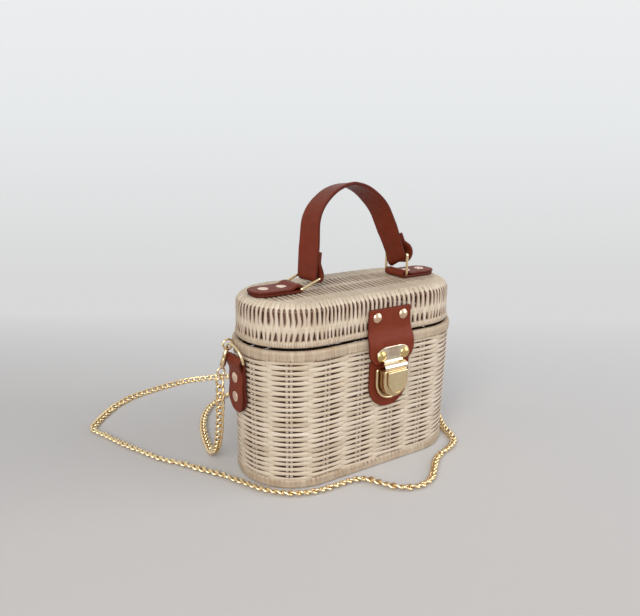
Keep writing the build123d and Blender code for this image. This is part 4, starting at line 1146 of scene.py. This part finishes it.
def link():
    """A curb link: an oval of round wire, twisted along its length, with brown painted shade on its inner
    side.
    """
    straight, bend = (LINK_LENGTH - LINK_WIDTH) / 2, LINK_WIDTH / 2 - LINK_WIRE
    turn = np.radians(np.linspace(-90, 90, 10))
    half = np.stack([straight + bend * np.cos(turn), bend * np.sin(turn)], -1)
    flat = np.concatenate([half, -half])
    roll = np.radians(LINK_TWIST) * flat[:, 0] / (LINK_LENGTH / 2)
    line = np.stack([flat[:, 0], flat[:, 1] * np.cos(roll), flat[:, 1] * np.sin(roll)], -1)
    normals = np.stack([np.zeros(20), -np.sin(roll), np.cos(roll)], -1)
    ring = tube(line, normals, LINK_WIRE, LINK_WIRE, closed=True)
    inward = np.linalg.norm(line, axis=1)[:, None] - np.linalg.norm(ring, axis=2)
    shade = 0.75 * smoothstep(0.2, 0.9, inward / LINK_WIRE)
    return Pile().add(ring, loop=True, shade=shade).shape("link", CHAIN)


def chain():
    """Curb links along the route, each lying flat in its neighbours."""
    path = route_points()
    gone = travelled(path)
    count = int(round((gone[-1] - LINK_LENGTH) / LINK_PITCH))
    spots = at_distances(path, np.linspace(LINK_LENGTH / 2, gone[-1] - LINK_LENGTH / 2, count + 1))
    turns = []
    for run in tangents(spots):
        steep = smoothstep(0.3, 0.8, abs(run[2]))
        level = np.cross(run, [0.0, 0.0, 1.0])
        hung = HANG_FACE - run * (run @ HANG_FACE)
        level = unit(level * (1 - steep) * np.sign(level @ HANG_FACE) + hung * steep)
        roll = math.radians(LINK_ROLL * (1 - steep) + rng.normal(0, 8))
        turns.append(turned(run, np.cross(run, level) * -math.cos(roll) - level * math.sin(roll)))
    piece = place(copies("chain_links", link(), spots, turns, 0.0), "basket", "chain_metal", "chain_strap")
    hooks = [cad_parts[f"hook_{kind}_{name}"] for kind in ("gate", "swivel") for _, name in SIDES]
    hooks += hook_bodies()


# Stage, in metres

SWEEP_HALF, SWEEP_NEAR, SWEEP_FAR, SWEEP_BEND, SWEEP_HIGH = 3.0, -1.6, 0.55, 0.5, 2.2
LIGHTS = (("key", (-0.9, -0.86, 0.78), 0.9, 16.5, (1.0, 0.97, 0.93)),
          ("fill", (1.1, -0.9, 0.7), 1.2, 13.0, (0.95, 0.97, 1.0)))
AIM = Vector((0, 0, 0.09))
SKY_STRENGTH = 0.66


def seen_ray(tree):
    """One for what the camera sees, straight or mirrored in metal."""
    ray = add(tree, "ShaderNodeLightPath").outputs
    return calc(tree, "MAXIMUM", ray["Is Camera Ray"], ray["Is Glossy Ray"])


def sweep_material():
    """A light floor, painted darker towards the camera as painted shade, that goes over into a backdrop
    whose glow grows brighter with height, as painted light.
    """
    material, tree, shader = new_material("sweep", 0.9)
    spot = coords(tree, "Object")
    height = stretch(tree, add(tree, "ShaderNodeSeparateXYZ", Vector=spot).outputs[2], 0.0, 0.9)
    # Painted light: the backdrop's glow grows brighter with height.
    glow = add(tree, "ShaderNodeEmission", Color=ramp(tree, height, [
        (0.0, (0.69, 0.69, 0.69)), (0.12, (0.74, 0.75, 0.755)),
        (0.35, (0.80, 0.82, 0.83)), (0.8, (0.86, 0.865, 0.87))]))
    ahead = (math.sin(YAW), math.cos(YAW), 0)
    along = add(tree, "ShaderNodeVectorMath", {"operation": "DOT_PRODUCT"}, i0=spot, i1=ahead)
    along = along.outputs["Value"]
    # Painted shade: the floor's colour is darker towards the camera.
    floor_painted_shade = ramp(tree, stretch(tree, along, -0.5, 0.1), [
        (0.3, (0.50, 0.48, 0.47)), (1.0, (0.60, 0.59, 0.585))])
    put(tree, shader, Base_Color=floor_painted_shade, Specular_IOR_Level=0.1)
    share = calc(tree, "MULTIPLY", seen_ray(tree), stretch(tree, along, 0.08, 0.42))
    both = add(tree, "ShaderNodeMixShader", i0=share, i1=shader.outputs[0], i2=glow.outputs[0])
    put(tree, tree.nodes["Material Output"], Surface=both.outputs[0])
    return material


def sweep():
    """A sweep behind the bag, turned towards the camera."""
    profile = [(SWEEP_NEAR, 0.0), (SWEEP_FAR, 0.0)]
    for c, s in map(cos_sin, np.linspace(0, 90, 16)[1:]):
        profile.append((SWEEP_FAR + SWEEP_BEND * s, SWEEP_BEND - SWEEP_BEND * c))
    profile.append((SWEEP_FAR + SWEEP_BEND, SWEEP_HIGH))
    c, s = math.cos(YAW), math.sin(YAW)
    points = [(x * c + y * s, y * c - x * s, z) for y, z in profile for x in (-SWEEP_HALF, SWEEP_HALF)]
    faces = [(2 * i, 2 * i + 1, 2 * i + 3, 2 * i + 2) for i in range(len(profile) - 1)]
    mesh = bpy.data.meshes.new("sweep")
    mesh.from_pydata(points, [], faces)
    for polygon in mesh.polygons:
        polygon.use_smooth = True
    mesh.materials.append(sweep_material())
    floor = bpy.data.objects.new("sweep", mesh)
    bpy.context.collection.objects.link(floor)


def light():
    """A soft sky, and two large lamps in front."""
    world = bpy.data.worlds.new("world")
    world.use_nodes = True
    sky = world.node_tree
    up = add(sky, "ShaderNodeSeparateXYZ", Vector=coords(sky, "Generated")).outputs[2]
    tint = ramp(sky, stretch(sky, up, -0.2, 1.0), [
        (0.1, (0.16, 0.16, 0.165)), (0.33, (0.30, 0.305, 0.315)),
        (0.6, (0.58, 0.59, 0.61)), (0.9, (0.80, 0.82, 0.85))])
    put(sky, sky.nodes["Background"], Color=mix(sky, seen_ray(sky), tint, (1.2, 1.22, 1.23)),
        Strength=SKY_STRENGTH)
    bpy.context.scene.world = world
    for name, spot, size, power, colour in LIGHTS:
        data = bpy.data.lights.new(name, "AREA")
        data.size, data.energy, data.color = size, power, colour
        lamp = bpy.data.objects.new(name, data)
        lamp.location = spot
        lamp.rotation_euler = (AIM - Vector(spot)).to_track_quat("-Z", "Y").to_euler()
        bpy.context.collection.objects.link(lamp)
    bpy.context.scene.view_settings.view_transform = "Standard"


def dress_cad_nodes():
    """Materials of the CAD nodes that show as they are."""
    for name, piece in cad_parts.items():
        if name.startswith("hook_") or name in ("hinge_rings", "lock_back_plate"):
            material = GOLD
        elif name == "basket_base":
            material = WICKER
        else:
            continue
        for slot in piece.material_slots:
            slot.material = material


add_camera()
chain()
sweep()
light()
basket_weave()
basket_stakes()
wrapped_band("rim_wrap", "basket", "basket_rim", band_section(48.0, 48.2, 103.4, 112.0, 5.4, 2.2),
             190, 0.26, 0.2, 0.02, -1)
wrapped_band("foot_wrap", "basket", "basket_foot_rim", band_section(45.9, 46.0, 0.2, 8.0, 5.0, 1.9),
             120, 0.24, 0.22, 0.03, 1)
lid_weave()
lid_frame()
wrapped_band("lid_rim_wrap", "lid", "lid_rim", band_section(45.6, 45.7, 113.8, 119.0, 5.0, 2.0),
             236, 0.22, 0.4)
handle()
handle_tabs()
side_tabs()
clasp_leather()
all_rivets()
lock()
lock_coil()
hasp()
rings()
dress_cad_nodes()
